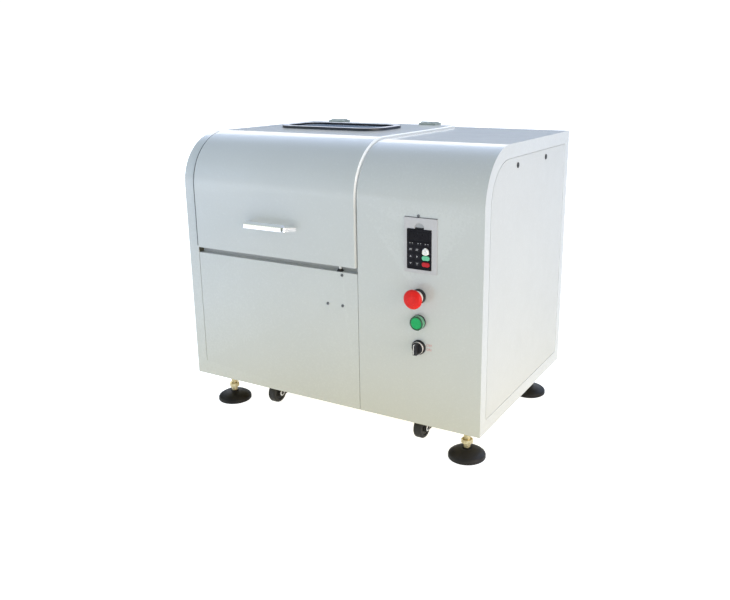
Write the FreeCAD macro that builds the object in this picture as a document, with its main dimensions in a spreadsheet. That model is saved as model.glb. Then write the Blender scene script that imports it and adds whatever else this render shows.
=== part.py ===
import FreeCAD, Part
import math
import os
import Sketcher
from FreeCAD import Placement, Rotation, Vector

# Planetary ball mill, floor standing. Millimetres, +Z up.
# Origin: centre of the whole outline on the floor. -Y is the operator side.
# Most dimensions below are taken from the cabinet's own corner: x from its left
# side, y from its front face, z from its underside. X(), Y() and Z() shift them.

doc = FreeCAD.newDocument("planetary_ball_mill")
sheet = doc.addObject("Spreadsheet::Sheet", "Sheet")

DIMS = [
    # cabinet
    ("cab_w", 750), ("cab_d", 503), ("cab_h", 576), ("clear_z", 84), ("front_y", -233),
    ("corner_rad", 115), ("skin", 1.5), ("cheek_w", 28.8), ("slit", 1.2), ("slit_z", 34),
    ("seam_x", 468), ("panel_x_lo", 30), ("panel_x_hi", 466.8), ("panel_top", 305.5), ("flange_w", 20), ("shelf_d", 17.5), ("shelf_end", 458),
    ("cover_in", 29), ("cover_gap", 1.2), ("lip_out", 22), ("lip_in", 58), ("cover_rc", 4),
    ("cov_fast_ya", 163.3), ("cov_fast_yb", 336.4), ("cov_fast_z", 530.6), ("cov_fast_rad", 5.8),
    ("return_d", 15), ("rear_top", 551), ("rail_y", 476), ("rail_drop", 20),
    # lid
    ("lid_lo_x", 31), ("lid_hi_x", 465.5), ("lid_proud", 5), ("lid_skin", 2), ("lid_low", 319), ("lid_edge", 3),
    ("lid_back", 474), ("lid_flange", 18),
    ("win_cx", 238.5), ("win_cy", 299), ("win_w", 289), ("win_d", 160), ("win_rad", 52),
    ("win_lip", 17), ("win_hole_in", 10), ("win_glass_in", 13), ("win_up", 6), ("glass_th", 4),
    ("hnd_cx", 252), ("hnd_cc", 102), ("hnd_bar", 10), ("hnd_out", 34.29), ("hnd_zc", 389.4), ("hnd_high", 15.5), ("hnd_slope", 5.6), ("hnd_splay", 9),
    ("hinge_xa", 113), ("hinge_xb", 390), ("hinge_w", 47), ("hinge_y", 482), ("hinge_z", 582.5),
    ("hinge_rad", 6), ("hinge_pin", 2.5), ("hinge_mid", 17),
    # milling drive
    ("rot_x", 249), ("rot_y", 250), ("deck_z", 192), ("deck_th", 10), ("leg_size", 40),
    ("shaft_rad", 17.5), ("shaft_lo", 112), ("disc_z", 292), ("disc_th", 18), ("disc_rad", 186),
    ("orbit", 120), ("gear_mod", 3), ("gear_teeth", 40), ("gear_z", 262), ("gear_th", 20), ("backlash", 0.8),
    ("hous_rad", 52), ("hous_flange", 80), ("hous_lo", 168), ("brg_rad", 36), ("brg_th", 17),
    ("pbrg_rad", 26), ("pbrg_th", 15), ("spin_rad", 12.5),
    ("cup_floor", 313), ("cup_base_th", 8), ("cup_top", 386), ("cup_in", 48.8), ("cup_out", 56),
    ("post_w", 18), ("post_t", 14), ("bridge_z", 468), ("bridge_th", 15),
    ("jar_rad", 47.5), ("jar_high", 95), ("jar_wall", 6), ("clamp_rad", 6), ("clamp_top", 506),
    ("pul_rad", 100), ("mpul_rad", 50), ("pul_z", 118), ("pul_th", 38), ("belt_w", 12), ("belt_th", 8),
    ("belt_za", 123), ("belt_zb", 139), ("pul_bore_fit", 0),
    ("mot_x", 610), ("mot_y", 330), ("mot_rad", 66), ("mot_flange", 80), ("mot_top", 400), ("mshaft_rad", 12),
    # electrics and controls
    ("key_xlo", 586), ("key_xhi", 639.5), ("key_zlo", 334.5), ("key_zhi", 415.5), ("key_proud", 3.5),
    ("bez_xlo", 579), ("bez_xhi", 652), ("bez_zlo", 327), ("bez_zhi", 438), ("bez_th", 2),
    ("dial_x", 628), ("dial_z", 372), ("dial_rad", 7.0), ("run_z", 359), ("stop_z", 346), ("key_w", 17), ("key_tall", 9.4),
    ("btn_x", 612), ("stop_btn_z", 279), ("pilot_z", 225), ("sel_z", 171), ("btn_hole", 11.3), ("btn_ring", 15.3),
    ("estop_rad", 20), ("estop_out", 35), ("estop_back", 21), ("pilot_out", 14), ("pilot_rad", 15), ("sel_out", 20),
    ("inv_d", 118), ("plunger_x", 419.5), ("plunger_y", 8), ("plunger_rad", 2.8),
    ("inlet_x", 610), ("inlet_z", 96), ("inlet_w", 52), ("inlet_tall", 36), ("inlet_th", 3),
    # feet and casters
    ("foot_x", 55), ("foot_ya", 63), ("foot_yb", 450), ("pad_rad", 40.5), ("stud_rad", 7), ("boss_rad", 16), ("boss_top", 26),
    ("cast_xa", 174), ("cast_xb", 576), ("cast_ya", 84), ("cast_yb", 425), ("wheel_rad", 25), ("wheel_w", 20),
    ("wheel_low", 9), ("trail", 20),
    ("case_gap", 0.3),
]


class Q:
    """A number together with the sheet expression that gives it."""

    def __init__(self, v, e=None):
        self.v = float(v)
        self.e = repr(float(v)) if e is None else e

    @staticmethod
    def of(a):
        return a if isinstance(a, Q) else Q(a)

    def __add__(self, o):
        o = Q.of(o)
        return Q(self.v + o.v, "(%s + %s)" % (self.e, o.e))

    def __radd__(self, o):
        return Q.of(o) + self

    def __sub__(self, o):
        o = Q.of(o)
        return Q(self.v - o.v, "(%s - %s)" % (self.e, o.e))

    def __rsub__(self, o):
        return Q.of(o) - self

    def __mul__(self, o):
        o = Q.of(o)
        return Q(self.v * o.v, "(%s * %s)" % (self.e, o.e))

    def __rmul__(self, o):
        return Q.of(o) * self

    def __truediv__(self, o):
        o = Q.of(o)
        return Q(self.v / o.v, "(%s / %s)" % (self.e, o.e))

    def __neg__(self):
        return Q(0) - self


class Dims:
    pass


d = Dims()
for row, (alias, value) in enumerate(DIMS, start=1):
    sheet.set("A%d" % row, alias)
    sheet.set("B%d" % row, repr(float(value)))
    sheet.setAlias("B%d" % row, alias)
doc.recompute()
for alias, value in DIMS:
    setattr(d, alias, Q(float(getattr(sheet, alias)), "Sheet.%s" % alias))


def X(a):
    return Q.of(a) - d.cab_w / 2


def Y(a):
    return Q.of(a) + d.front_y


def Z(a):
    return Q.of(a) + d.clear_z


NODES = []


def node(obj, name):
    obj.Label = name
    NODES.append(obj)
    return obj


ROT = {
    "z": Rotation(),
    "-z": Rotation(Vector(1, 0, 0), 180),
    "x": Rotation(Vector(0, 1, 0), 90),
    "-x": Rotation(Vector(0, 1, 0), -90),
    "y": Rotation(Vector(1, 0, 0), -90),
    "-y": Rotation(Vector(1, 0, 0), 90),
}


def place(obj, x, y, z, rot=None):
    if rot is not None:
        obj.Placement = Placement(Vector(0, 0, 0), rot)
    for ax, q in (("x", x), ("y", y), ("z", z)):
        q = Q.of(q)
        if abs(q.v) > 1e-9 or "Sheet" in q.e:
            obj.setExpression("Placement.Base." + ax, q.e)
    return obj


def bind(obj, **props):
    for name, q in props.items():
        obj.setExpression(name, Q.of(q).e)
    return obj


def box(x0, x1, y0, y1, z0, z1):
    b = doc.addObject("Part::Box", "Block")
    bind(b, Length=Q.of(x1) - x0, Width=Q.of(y1) - y0, Height=Q.of(z1) - z0)
    return place(b, x0, y0, z0)


def cyl(x, y, z, rad, length, axis="z"):
    c = doc.addObject("Part::Cylinder", "Round")
    bind(c, Radius=rad, Height=length)
    return place(c, x, y, z, ROT[axis])


def cone(x, y, z, rad_a, rad_b, length, axis="z"):
    c = doc.addObject("Part::Cone", "Taper")
    bind(c, Radius1=rad_a, Radius2=rad_b, Height=length)
    return place(c, x, y, z, ROT[axis])


def hexagon(x, y, z, across, length, axis="z"):
    h = doc.addObject("Part::Prism", "Hex")
    h.Polygon = 6
    bind(h, Circumradius=Q.of(across) / 2, Height=length)
    return place(h, x, y, z, ROT[axis])


def fuse(*objs):
    f = doc.addObject("Part::MultiFuse", "Joined")
    f.Shapes = list(objs)
    f.Refine = True
    return f


def cut(base, *tools):
    tool = tools[0] if len(tools) == 1 else fuse(*tools)
    c = doc.addObject("Part::Cut", "Trimmed")
    c.Base = base
    c.Tool = tool
    return c


def group(*objs):
    g = doc.addObject("Part::Compound", "Set")
    g.Links = list(objs)
    return g


# ---- sketches: each corner is dimensioned from the sketch origin ----

def plane(body, role):
    for f in body.Origin.OriginFeatures:
        if f.Role == role:
            return f
    raise RuntimeError(role)


def sketch(body, role, loops, lift=0):
    sk = body.newObject("Sketcher::SketchObject", "Outline")
    sk.AttachmentSupport = [(plane(body, role), "")]
    sk.MapMode = "FlatFace"
    lift = Q.of(lift)
    if abs(lift.v) > 1e-9:
        sk.setExpression("AttachmentOffset.Base.z", lift.e)
    todo = []

    def dim(kind, geo, pos, q):
        q = Q.of(q)
        i = sk.addConstraint(Sketcher.Constraint(kind, -1, 1, geo, pos, q.v))
        if "Sheet" in q.e:
            todo.append((i, q.e))

    def radius(geo, q):
        q = Q.of(q)
        i = sk.addConstraint(Sketcher.Constraint("Radius", geo, q.v))
        if "Sheet" in q.e:
            todo.append((i, q.e))

    for loop in loops:
        if loop[0] == "circle":
            _, cx, cy, rad = loop
            cx, cy, rad = Q.of(cx), Q.of(cy), Q.of(rad)
            g = sk.addGeometry(Part.Circle(Vector(cx.v, cy.v, 0), Vector(0, 0, 1), rad.v), False)
            dim("DistanceX", g, 3, cx)
            dim("DistanceY", g, 3, cy)
            radius(g, rad)
            continue
        pts = [(Q.of(p[0]), Q.of(p[1]), p[2] if len(p) > 2 else None) for p in loop]
        ids = []
        n = len(pts)
        for i in range(n):
            a, b = pts[i], pts[(i + 1) % n]
            va, vb = Vector(a[0].v, a[1].v, 0), Vector(b[0].v, b[1].v, 0)
            if a[2] is None:
                g = sk.addGeometry(Part.LineSegment(va, vb), False)
                ids.append((g, 1, 2))
            else:
                rad, turn = Q.of(a[2][0]), a[2][1]
                mid = (va + vb) * 0.5
                half = (vb - va).Length / 2
                rise = math.sqrt(max(rad.v ** 2 - half ** 2, 0))
                side = Vector(-(vb - va).y, (vb - va).x, 0)
                side.normalize()
                # turn +1: arc runs anticlockwise from a to b, centre on the left
                c = mid + side * (rise * (1 if turn > 0 else -1))
                a0 = math.atan2(va.y - c.y, va.x - c.x)
                a1 = math.atan2(vb.y - c.y, vb.x - c.x)
                circ = Part.Circle(c, Vector(0, 0, 1), rad.v)
                if turn > 0:
                    g = sk.addGeometry(Part.ArcOfCircle(circ, a0, a1), False)
                    ids.append((g, 1, 2))
                else:
                    g = sk.addGeometry(Part.ArcOfCircle(circ, a1, a0), False)
                    ids.append((g, 2, 1))
                radius(g, rad)
        for i in range(n):
            g, s, _ = ids[i]
            gp, _, e = ids[i - 1]
            sk.addConstraint(Sketcher.Constraint("Coincident", gp, e, g, s))
            dim("DistanceX", g, s, pts[i][0])
            dim("DistanceY", g, s, pts[i][1])
    for i, e in todo:
        sk.setExpression("Constraints[%d]" % i, e)
    return sk


def new_body():
    return doc.addObject("PartDesign::Body", "Piece")


def pad(body, role, loops, length, lift=0, back=False):
    p = body.newObject("PartDesign::Pad", "Pad")
    p.Profile = sketch(body, role, loops, lift)
    p.setExpression("Length", Q.of(length).e)
    p.Reversed = back
    body.Tip = p
    return p


def pocket(body, role, loops, length, lift=0, back=False):
    doc.recompute()
    before = body.Shape.Volume
    p = body.newObject("PartDesign::Pocket", "Pocket")
    p.Profile = sketch(body, role, loops, lift)
    p.setExpression("Length", Q.of(length).e)
    p.Reversed = back
    body.Tip = p
    doc.recompute()
    if body.Shape.Volume > before - 0.5:
        p.Reversed = not back
        doc.recompute()
    if body.Shape.Volume > before - 0.5:
        raise RuntimeError("pocket cuts nothing")
    return p


def turned(profile, x=0, y=0, z=0, axis="z"):
    """Revolved piece: profile is (radius, height) corners, turned about its own axis."""
    b = new_body()
    r = b.newObject("PartDesign::Revolution", "Turned")
    sk = sketch(b, "XZ_Plane", [profile])
    r.Profile = sk
    r.ReferenceAxis = (sk, ["V_Axis"])
    r.Angle = 360
    b.Tip = r
    place(b, x, y, z, ROT[axis])
    return b


def rect(x0, x1, y0, y1):
    return [(x0, y0), (x1, y0), (x1, y1), (x0, y1)]


def round_rect(x0, x1, y0, y1, rad):
    x0, x1, y0, y1, rad = (Q.of(a) for a in (x0, x1, y0, y1, rad))
    return [(x0 + rad, y0), (x1 - rad, y0, (rad, 1)), (x1, y0 + rad), (x1, y1 - rad, (rad, 1)),
            (x1 - rad, y1), (x0 + rad, y1, (rad, 1)), (x0, y1 - rad), (x0, y0 + rad, (rad, 1))]


H, D, W, R, T = d.cab_h, d.cab_d, d.cab_w, d.corner_rad, d.skin


def side_outline(inset, rc=None):
    """Cabinet side outline moved in by inset: big radius at the front top corner."""
    inset = Q.of(inset)
    y0, y1, z0, z1 = Y(inset), Y(D - inset), Z(inset), Z(H - inset)
    ya, za = Y(R), Z(H - R)
    if rc is None:
        return [(y0, z0), (y1, z0), (y1, z1), (ya, z1, (R - inset, 1)), (y0, za)]
    rc = Q.of(rc)
    return [(y0 + rc, z0), (y1 - rc, z0, (rc, 1)), (y1, z0 + rc), (y1, z1 - rc, (rc, 1)), (y1 - rc, z1),
            (ya, z1, (R - inset, 1)), (y0, za), (y0, z0 + rc, (rc, 1))]


# ------------------------------------------------------------------ cabinet
# left cheek: wraps front, top, back and underside, with an opening for its cover
left = new_body()
pad(left, "YZ_Plane", [side_outline(0), side_outline(T)], d.cheek_w, X(0))
pad(left, "YZ_Plane", [side_outline(0), side_outline(d.cover_in - d.cover_gap, d.cover_rc + d.cover_gap)], T, X(0))
pad(left, "YZ_Plane", [side_outline(d.lip_out), side_outline(d.lip_in, d.cover_rc)], T, X(T))
pocket(left, "YZ_Plane", [("circle", Y(d.cov_fast_ya), Z(d.cov_fast_z), 5),
                          ("circle", Y(d.cov_fast_yb), Z(d.cov_fast_z), 5)], 4, X(T))
node(left, "left_side_panel")

# right housing: front, curved top and side in one folded sheet
right = new_body()
pad(right, "YZ_Plane", [[
    (Y(0), Z(0)), (Y(d.flange_w), Z(0)), (Y(d.flange_w), Z(T)), (Y(T), Z(T)), (Y(T), Z(H - R), (R - T, -1)),
    (Y(R), Z(H - T)), (Y(D - T), Z(H - T)), (Y(D - T), Z(d.rear_top)), (Y(D), Z(d.rear_top)), (Y(D), Z(H)),
    (Y(R), Z(H), (R, 1)), (Y(0), Z(H - R))]], W - d.seam_x, X(d.seam_x))
pad(right, "YZ_Plane", [side_outline(0), side_outline(T)], d.cheek_w, X(W - d.cheek_w))
pad(right, "YZ_Plane", [side_outline(0), side_outline(d.cover_in - d.cover_gap, d.cover_rc + d.cover_gap)], T, X(W - T))
pad(right, "YZ_Plane", [side_outline(d.lip_out), side_outline(d.lip_in, d.cover_rc)], T, X(W - T - T))
rd = d.return_d
pad(right, "YZ_Plane", [[
    (Y(0), Z(d.slit_z)), (Y(rd), Z(d.slit_z)), (Y(rd), Z(H - R), (R - rd, -1)), (Y(R), Z(H - rd)),
    (Y(D - 2), Z(H - rd)), (Y(D - 2), Z(H)), (Y(R), Z(H), (R, 1)), (Y(0), Z(H - R))]], T, X(d.seam_x))
pocket(right, "YZ_Plane", [("circle", Y(d.cov_fast_ya), Z(d.cov_fast_z), 5),
                           ("circle", Y(d.cov_fast_yb), Z(d.cov_fast_z), 5)], 4, X(W - T - 3))
pocket(right, "XZ_Plane", [
    rect(X(d.key_xlo - 2.5), X(d.key_xhi + 2.5), Z(d.key_zlo - 2.5), Z(d.key_zhi + 2.5)),
    ("circle", X(d.btn_x), Z(d.stop_btn_z), d.btn_hole), ("circle", X(d.btn_x), Z(d.pilot_z), d.btn_hole),
    ("circle", X(d.btn_x), Z(d.sel_z), d.btn_hole)], 6, -Y(-2))
node(right, "right_housing")

# two inset side covers, flush with the cabinet sides
covers = []
for xa in (Q(0), W - T):
    c = new_body()
    pad(c, "YZ_Plane", [side_outline(d.cover_in, d.cover_rc),
                        ("circle", Y(d.cov_fast_ya), Z(d.cov_fast_z), 5),
                        ("circle", Y(d.cov_fast_yb), Z(d.cov_fast_z), 5)], T, X(xa))
    covers.append(c)
node(group(*covers), "side_covers")

# lower front panel with top and bottom folds and side returns
low = new_body()
fw = d.flange_w
pad(low, "YZ_Plane", [[
    (Y(0), Z(0)), (Y(fw), Z(0)), (Y(fw), Z(T)), (Y(T), Z(T)), (Y(T), Z(d.panel_top - T)),
    (Y(fw), Z(d.panel_top - T)), (Y(fw), Z(d.panel_top)), (Y(0), Z(d.panel_top))]],
    d.panel_x_hi - d.panel_x_lo, X(d.panel_x_lo))
pad(low, "YZ_Plane", [rect(Y(0), Y(fw), Z(0), Z(T))], d.panel_x_lo - d.cheek_w, X(d.cheek_w))
pad(low, "YZ_Plane", [rect(Y(0), Y(T), Z(0), Z(d.slit_z))], d.panel_x_lo - d.cheek_w, X(d.cheek_w))
for xa in (d.panel_x_lo, d.panel_x_hi - T):
    pad(low, "YZ_Plane", [rect(Y(0), Y(16), Z(d.slit_z), Z(d.panel_top))], T, X(xa))
# shelf behind the top fold with an upstand that keeps dust out of the chamber
st = d.panel_top
pad(low, "YZ_Plane", [[
    (Y(T), Z(st - T)), (Y(d.shelf_d), Z(st - T)), (Y(d.shelf_d), Z(st + 10.5)), (Y(d.shelf_d - T), Z(st + 10.5)),
    (Y(d.shelf_d - T), Z(st)), (Y(T), Z(st))]], d.shelf_end - d.panel_x_lo, X(d.panel_x_lo))
pocket(low, "XY_Plane", [("circle", X(d.plunger_x), Y(d.plunger_y), d.plunger_rad + 0.4)], 4, Z(d.panel_top + 1))
screws = [(428.5, 299.0), (390.7, 231.8), (428.6, 231.6)]
pocket(low, "XZ_Plane", [("circle", X(sx), Z(sz), 2.4) for sx, sz in screws], 6, -Y(-2))
node(low, "lower_front_panel")

# rear panel: louvred sheet, its upper left part folded forward as the hinge rail
slots = []
for col in range(3):
    for r in range(9):
        x0 = Q(90) + 205 * col
        z0 = Q(300) + 22 * r
        slots.append(box(X(x0), X(x0 + 150), Y(D - 6), Y(D + 6), Z(z0), Z(z0 + 6)))
rear = cut(fuse(
    box(X(d.panel_x_lo), X(W - d.panel_x_lo), Y(D - T), Y(D), Z(T), Z(d.rear_top - 1.2)),
    box(X(d.panel_x_lo), X(d.panel_x_hi - 0.4), Y(D - T), Y(D), Z(d.rear_top - 5), Z(H)),
    box(X(d.panel_x_lo), X(d.panel_x_hi - 0.4), Y(d.rail_y), Y(D), Z(H - T), Z(H)),
    box(X(d.panel_x_lo), X(d.panel_x_hi - 0.4), Y(d.rail_y), Y(d.rail_y + T), Z(H - d.rail_drop), Z(H))),
    fuse(*slots),
    box(X(d.inlet_x - d.inlet_w / 2 + 4), X(d.inlet_x + d.inlet_w / 2 - 4), Y(D - 6), Y(D + 6),
        Z(d.inlet_z - d.inlet_tall / 2 + 4), Z(d.inlet_z + d.inlet_tall / 2 - 4)))
node(rear, "rear_panel")

# bottom pan with threaded foot bosses
bt = d.boss_top
pan = fuse(
    box(X(2.2), X(W - 2.2), Y(2.2), Y(D - 2.2), Z(T), Z(T + 3)),
    cut(box(X(2.2), X(W - 2.2), Y(2.2), Y(D - 2.2), Z(T), Z(20)),
        box(X(4.2), X(W - 4.2), Y(4.2), Y(D - 4.2), Z(T + 1), Z(22))),
    *[cyl(X(fx), Y(fy), Z(T + 1), d.boss_rad, bt - T - 1) for fx in (d.foot_x, W - d.foot_x) for fy in (d.foot_ya, d.foot_yb)])
pan = cut(pan, *[cyl(X(fx), Y(fy), Z(-2), d.stud_rad + d.case_gap, 60)
                 for fx in (d.foot_x, W - d.foot_x) for fy in (d.foot_ya, d.foot_yb)])
node(pan, "base_tray")

# deck plate on four welded square legs, with the bearing bore and the motor hole
ls = d.leg_size
legs = []
for lx in (Q(110), Q(650)):
    for ly in (Q(60), Q(450)):
        legs.append(cut(box(X(lx - ls / 2), X(lx + ls / 2), Y(ly - ls / 2), Y(ly + ls / 2), Z(T + 3), Z(d.deck_z + 1)),
                        box(X(lx - ls / 2 + 3), X(lx + ls / 2 - 3), Y(ly - ls / 2 + 3), Y(ly + ls / 2 - 3), Z(0), Z(d.deck_z))))
deck = new_body()
pad(deck, "XY_Plane", [round_rect(X(34), X(W - 34), Y(28), Y(D - 8), 10),
                       ("circle", X(d.rot_x), Y(d.rot_y), d.hous_rad + 0.5),
                       ("circle", X(d.mot_x), Y(d.mot_y), 34)], d.deck_th, Z(d.deck_z))
node(fuse(deck, *legs), "deck_frame")

# wall between milling chamber and electrics, with a foot flange on the deck
wall = new_body()
wz = d.deck_z + d.deck_th
pad(wall, "YZ_Plane", [[
    (Y(24), Z(wz)), (Y(D - 4), Z(wz)), (Y(D - 4), Z(H - 24)), (Y(R), Z(H - 24), (R - 24, 1)), (Y(24), Z(H - R))]],
    T, X(460))
pad(wall, "YZ_Plane", [rect(Y(40), Y(D - 10), Z(wz), Z(wz + T))], 22, X(460))
node(wall, "partition_wall")

# screws and side-cover fasteners
fast = []
for xa, ax in ((Q(0), "x"), (W, "-x")):
    sgn = 1 if ax == "x" else -1
    for fy in (d.cov_fast_ya, d.cov_fast_yb):
        fast.append(fuse(cyl(X(xa - 1.2 * sgn), Y(fy), Z(d.cov_fast_z), d.cov_fast_rad, 1.2, ax),
                         cyl(X(xa - 0.6 * sgn), Y(fy), Z(d.cov_fast_z), 4.6, 8, ax)))
for sx, sz, sr in [(a, b, 3.0) for a, b in screws] + [(610.0, 441.5, 2.6)]:
    fast.append(fuse(cyl(X(sx), Y(-1.8), Z(sz), sr, 1.8, "y"), cyl(X(sx), Y(-1), Z(sz), 1.9, 1.0 if sr < 3 else 5.5, "y")))
px, bt = d.plunger_rad + 0.35, d.panel_top
fast.append(turned([(px, bt), (7, bt), (7, bt + 1.5), (4.4, bt + 5.5), (px, bt + 5.5)], X(d.plunger_x), Y(d.plunger_y), Z(0)))
node(group(*fast), "panel_fasteners")

# ---------------------------------------------------------------------- lid
lp, lt, lf = d.lid_proud, d.lid_skin, d.lid_flange
lz = H + lp
lid = new_body()
pad(lid, "YZ_Plane", [[
    (Y(-lp), Z(d.lid_low)), (Y(lf - lp), Z(d.lid_low)), (Y(lf - lp), Z(d.lid_low + lt)), (Y(lt - lp), Z(d.lid_low + lt)),
    (Y(lt - lp), Z(H - R), (R + lp - lt, -1)), (Y(R), Z(lz - lt)), (Y(d.lid_back - lt), Z(lz - lt)),
    (Y(d.lid_back - lt), Z(lz - lf)), (Y(d.lid_back), Z(lz - lf)), (Y(d.lid_back), Z(lz)),
    (Y(R), Z(lz), (R + lp, 1)), (Y(-lp), Z(H - R))]], d.lid_hi_x - d.lid_lo_x, X(d.lid_lo_x))
for xa in (d.lid_lo_x, d.lid_hi_x - lt):
    pad(lid, "YZ_Plane", [[
        (Y(-lp), Z(d.lid_low)), (Y(lf - lp), Z(d.lid_low)), (Y(lf - lp), Z(H - R), (R + lp - lf, -1)),
        (Y(R), Z(lz - lf)), (Y(d.lid_back), Z(lz - lf)), (Y(d.lid_back), Z(lz)),
        (Y(R), Z(lz), (R + lp, 1)), (Y(-lp), Z(H - R))]], lt, X(xa))


def win(inset):
    inset = Q.of(inset)
    return round_rect(X(d.win_cx - d.win_w / 2 + inset), X(d.win_cx + d.win_w / 2 - inset),
                      Y(d.win_cy - d.win_d / 2 + inset), Y(d.win_cy + d.win_d / 2 - inset), d.win_rad - inset)


pocket(lid, "XY_Plane", [win(d.win_hole_in)], 8, Z(lz + 2))
doc.recompute()


def on_outline(p):
    """True for a point on the outer outline of the lid's two side folds."""
    x, y, z = p.x, p.y, p.z
    if min(abs(x - X(d.lid_lo_x).v), abs(x - X(d.lid_hi_x).v)) > 1e-4:
        return False
    yc, zc, r = Y(R).v, Z(H - R).v, (R + lp).v
    if z <= zc:
        return abs(y - Y(-lp).v) < 1e-3
    if y >= yc:
        return abs(z - Z(lz).v) < 1e-3
    return abs(math.hypot(y - yc, z - zc) - r) < 1e-3


soft = doc.addObject("Part::Fillet", "LidEdges")
soft.Base = lid
soft.Edges = [(i + 1, d.lid_edge.v, d.lid_edge.v) for i, e in enumerate(lid.Shape.Edges)
              if all(on_outline(e.valueAt(e.FirstParameter + (e.LastParameter - e.FirstParameter) * t)) for t in (0.02, 0.5, 0.98))]
node(soft, "lid_shell")

# rubber frame gripping both the lid sheet and the pane
seal = new_body()
pad(seal, "XY_Plane", [win(0), win(d.win_lip)], d.win_up, Z(lz))
pad(seal, "XY_Plane", [win(d.win_hole_in + 0.2), win(d.win_lip)], lt, Z(lz - lt))
pad(seal, "XY_Plane", [win(2), win(d.win_lip)], 3, Z(lz - lt - 3))
pocket(seal, "XY_Plane", [win(d.win_glass_in)], d.glass_th, Z(lz - 1))
seal.Tip.Reversed = True
node(seal, "window_seal")
pane = new_body()
pad(pane, "XY_Plane", [win(d.win_glass_in)], d.glass_th, Z(lz - 1))
node(pane, "lid_window")

# bow handle: legs splayed and dropping towards the lid, its outer upper edge sloped
hc, hw, hb, ho = d.hnd_cx, d.hnd_cc, d.hnd_bar, d.hnd_out
xl, xr = hc - hw / 2 - hb / 2, hc + hw / 2 + hb / 2
handle = new_body()
hy0, hy1 = Y(-lp - ho), Y(-lp)
splay = math.atan2(d.hnd_splay.v, ho.v)
sn, cs = math.sin(splay), math.cos(splay)
half = math.tan((math.pi / 2 - splay) / 2)
to, ti, fo, fi = 9 * half, 4 * half, 9, 4          # corner cut-backs and radii, outer and inner
vi = (1 - sn) / cs                                 # inner corner, in bar thicknesses from the outer one
end = (ho + 4) * (sn / cs)                         # the legs run 4 mm past the lid's face before they are trimmed
yi = hy0 + hb
end_i = (ho + 4 - hb) * (sn / cs)
pad(handle, "XY_Plane", [[
    (X(xl - end), hy1 + 4), (X(xl - to * sn), hy0 + to * cs, (fo, 1)), (X(xl + to), hy0), (X(xr - to), hy0, (fo, 1)),
    (X(xr + to * sn), hy0 + to * cs), (X(xr + end), hy1 + 4),
    (X(xr - hb * vi + end_i), hy1 + 4), (X(xr - hb * vi + ti * sn), yi + ti * cs, (fi, -1)), (X(xr - hb * vi - ti), yi),
    (X(xl + hb * vi + ti), yi, (fi, -1)), (X(xl + hb * vi - ti * sn), yi + ti * cs), (X(xl + hb * vi - end_i), hy1 + 4)]],
    d.hnd_high, Z(d.hnd_zc - d.hnd_high / 2))
drop = Placement(Vector(0, 0, 0), Rotation(Vector(1, 0, 0), -7.3), Vector(0, hy1.v, Z(d.hnd_zc).v))
handle.Placement = drop
doc.recompute()


def on_grip(p):
    """True for a point on the outer outline of the handle's upper face."""
    q = drop.inverse().multVec(p)
    x, y, z = abs(q.x - X(hc).v), q.y - hy0.v, q.z
    if abs(z - Z(d.hnd_zc + d.hnd_high / 2).v) > 1e-4:
        return False
    v = (hw.v + hb.v) / 2
    leg = abs((x - v) * cs - y * sn)
    arc = abs(math.hypot(x - (v - to), y - fo) - fo)
    return abs(y) < 1e-3 or leg < 1e-3 or arc < 1e-3 and y < to * cs + 1e-3 and x > v - to - 1e-3


slope = doc.addObject("Part::Chamfer", "GripSlope")
slope.Base = handle
slope.Edges = [(i + 1, d.hnd_slope.v, d.hnd_slope.v) for i, e in enumerate(handle.Shape.Edges)
               if all(on_grip(e.valueAt(e.FirstParameter + (e.LastParameter - e.FirstParameter) * t)) for t in (0.02, 0.5, 0.98))]
node(cut(slope, box(X(xl - 40), X(xr + 40), hy1, hy1 + 20, Z(d.hnd_zc - 30), Z(d.hnd_zc + 30))), "lid_handle")

# hinges: fixed leaves with their pins, and the leaves on the lid
hr, hm = d.hinge_rad, d.hinge_mid
bases, leaves = [], []
for hx in (d.hinge_xa, d.hinge_xb):
    xl, xr = hx - d.hinge_w / 2, hx + d.hinge_w / 2
    blk = fuse(
        box(X(xl), X(xr), Y(d.hinge_y + hr + 0.6), Y(d.hinge_y + 17), Z(H), Z(d.hinge_z + 3)),
        *[fuse(cyl(X(a), Y(d.hinge_y), Z(d.hinge_z), hr, b - a, "x"),
               box(X(a), X(b), Y(d.hinge_y), Y(d.hinge_y + hr + 2), Z(H + 0.5), Z(d.hinge_z + 3)))
          for a, b in ((xl, hx - hm / 2 - 0.4), (hx + hm / 2 + 0.4, xr))])
    bore = cyl(X(xl - 1), Y(d.hinge_y), Z(d.hinge_z), d.hinge_pin, d.hinge_w + 2, "x")
    bases.append(cut(blk, bore))
    bases.append(cyl(X(xl + 0.5), Y(d.hinge_y), Z(d.hinge_z), d.hinge_pin, d.hinge_w - 1, "x"))
    leaf = fuse(
        box(X(xl), X(xr), Y(d.hinge_y - 16.5), Y(d.hinge_y - hr - 0.6), Z(lz), Z(lz + 4.5)),
        cyl(X(hx - hm / 2), Y(d.hinge_y), Z(d.hinge_z), hr, hm, "x"),
        box(X(hx - hm / 2), X(hx + hm / 2), Y(d.hinge_y - hr - 2), Y(d.hinge_y), Z(lz), Z(lz + 4.5)))
    leaves.append(cut(leaf, cyl(X(xl), Y(d.hinge_y), Z(d.hinge_z), d.hinge_pin + 0.05, d.hinge_w, "x")))
node(group(*bases), "hinge_bases")
node(group(*leaves), "lid_hinges")

# -------------------------------------------------------------- milling drive
rx, ry = X(d.rot_x), Y(d.rot_y)
dz, dt = d.disc_z, d.disc_th

# flanged bearing housing and its two ball bearings
hz = d.hous_lo
house = turned([(d.brg_rad, hz), (d.hous_rad, hz), (d.hous_rad, wz), (d.hous_flange, wz), (d.hous_flange, wz + 10),
                (d.hous_rad, wz + 12), (d.hous_rad, d.gear_z), (d.brg_rad, d.gear_z)], rx, ry, Z(0))


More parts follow.
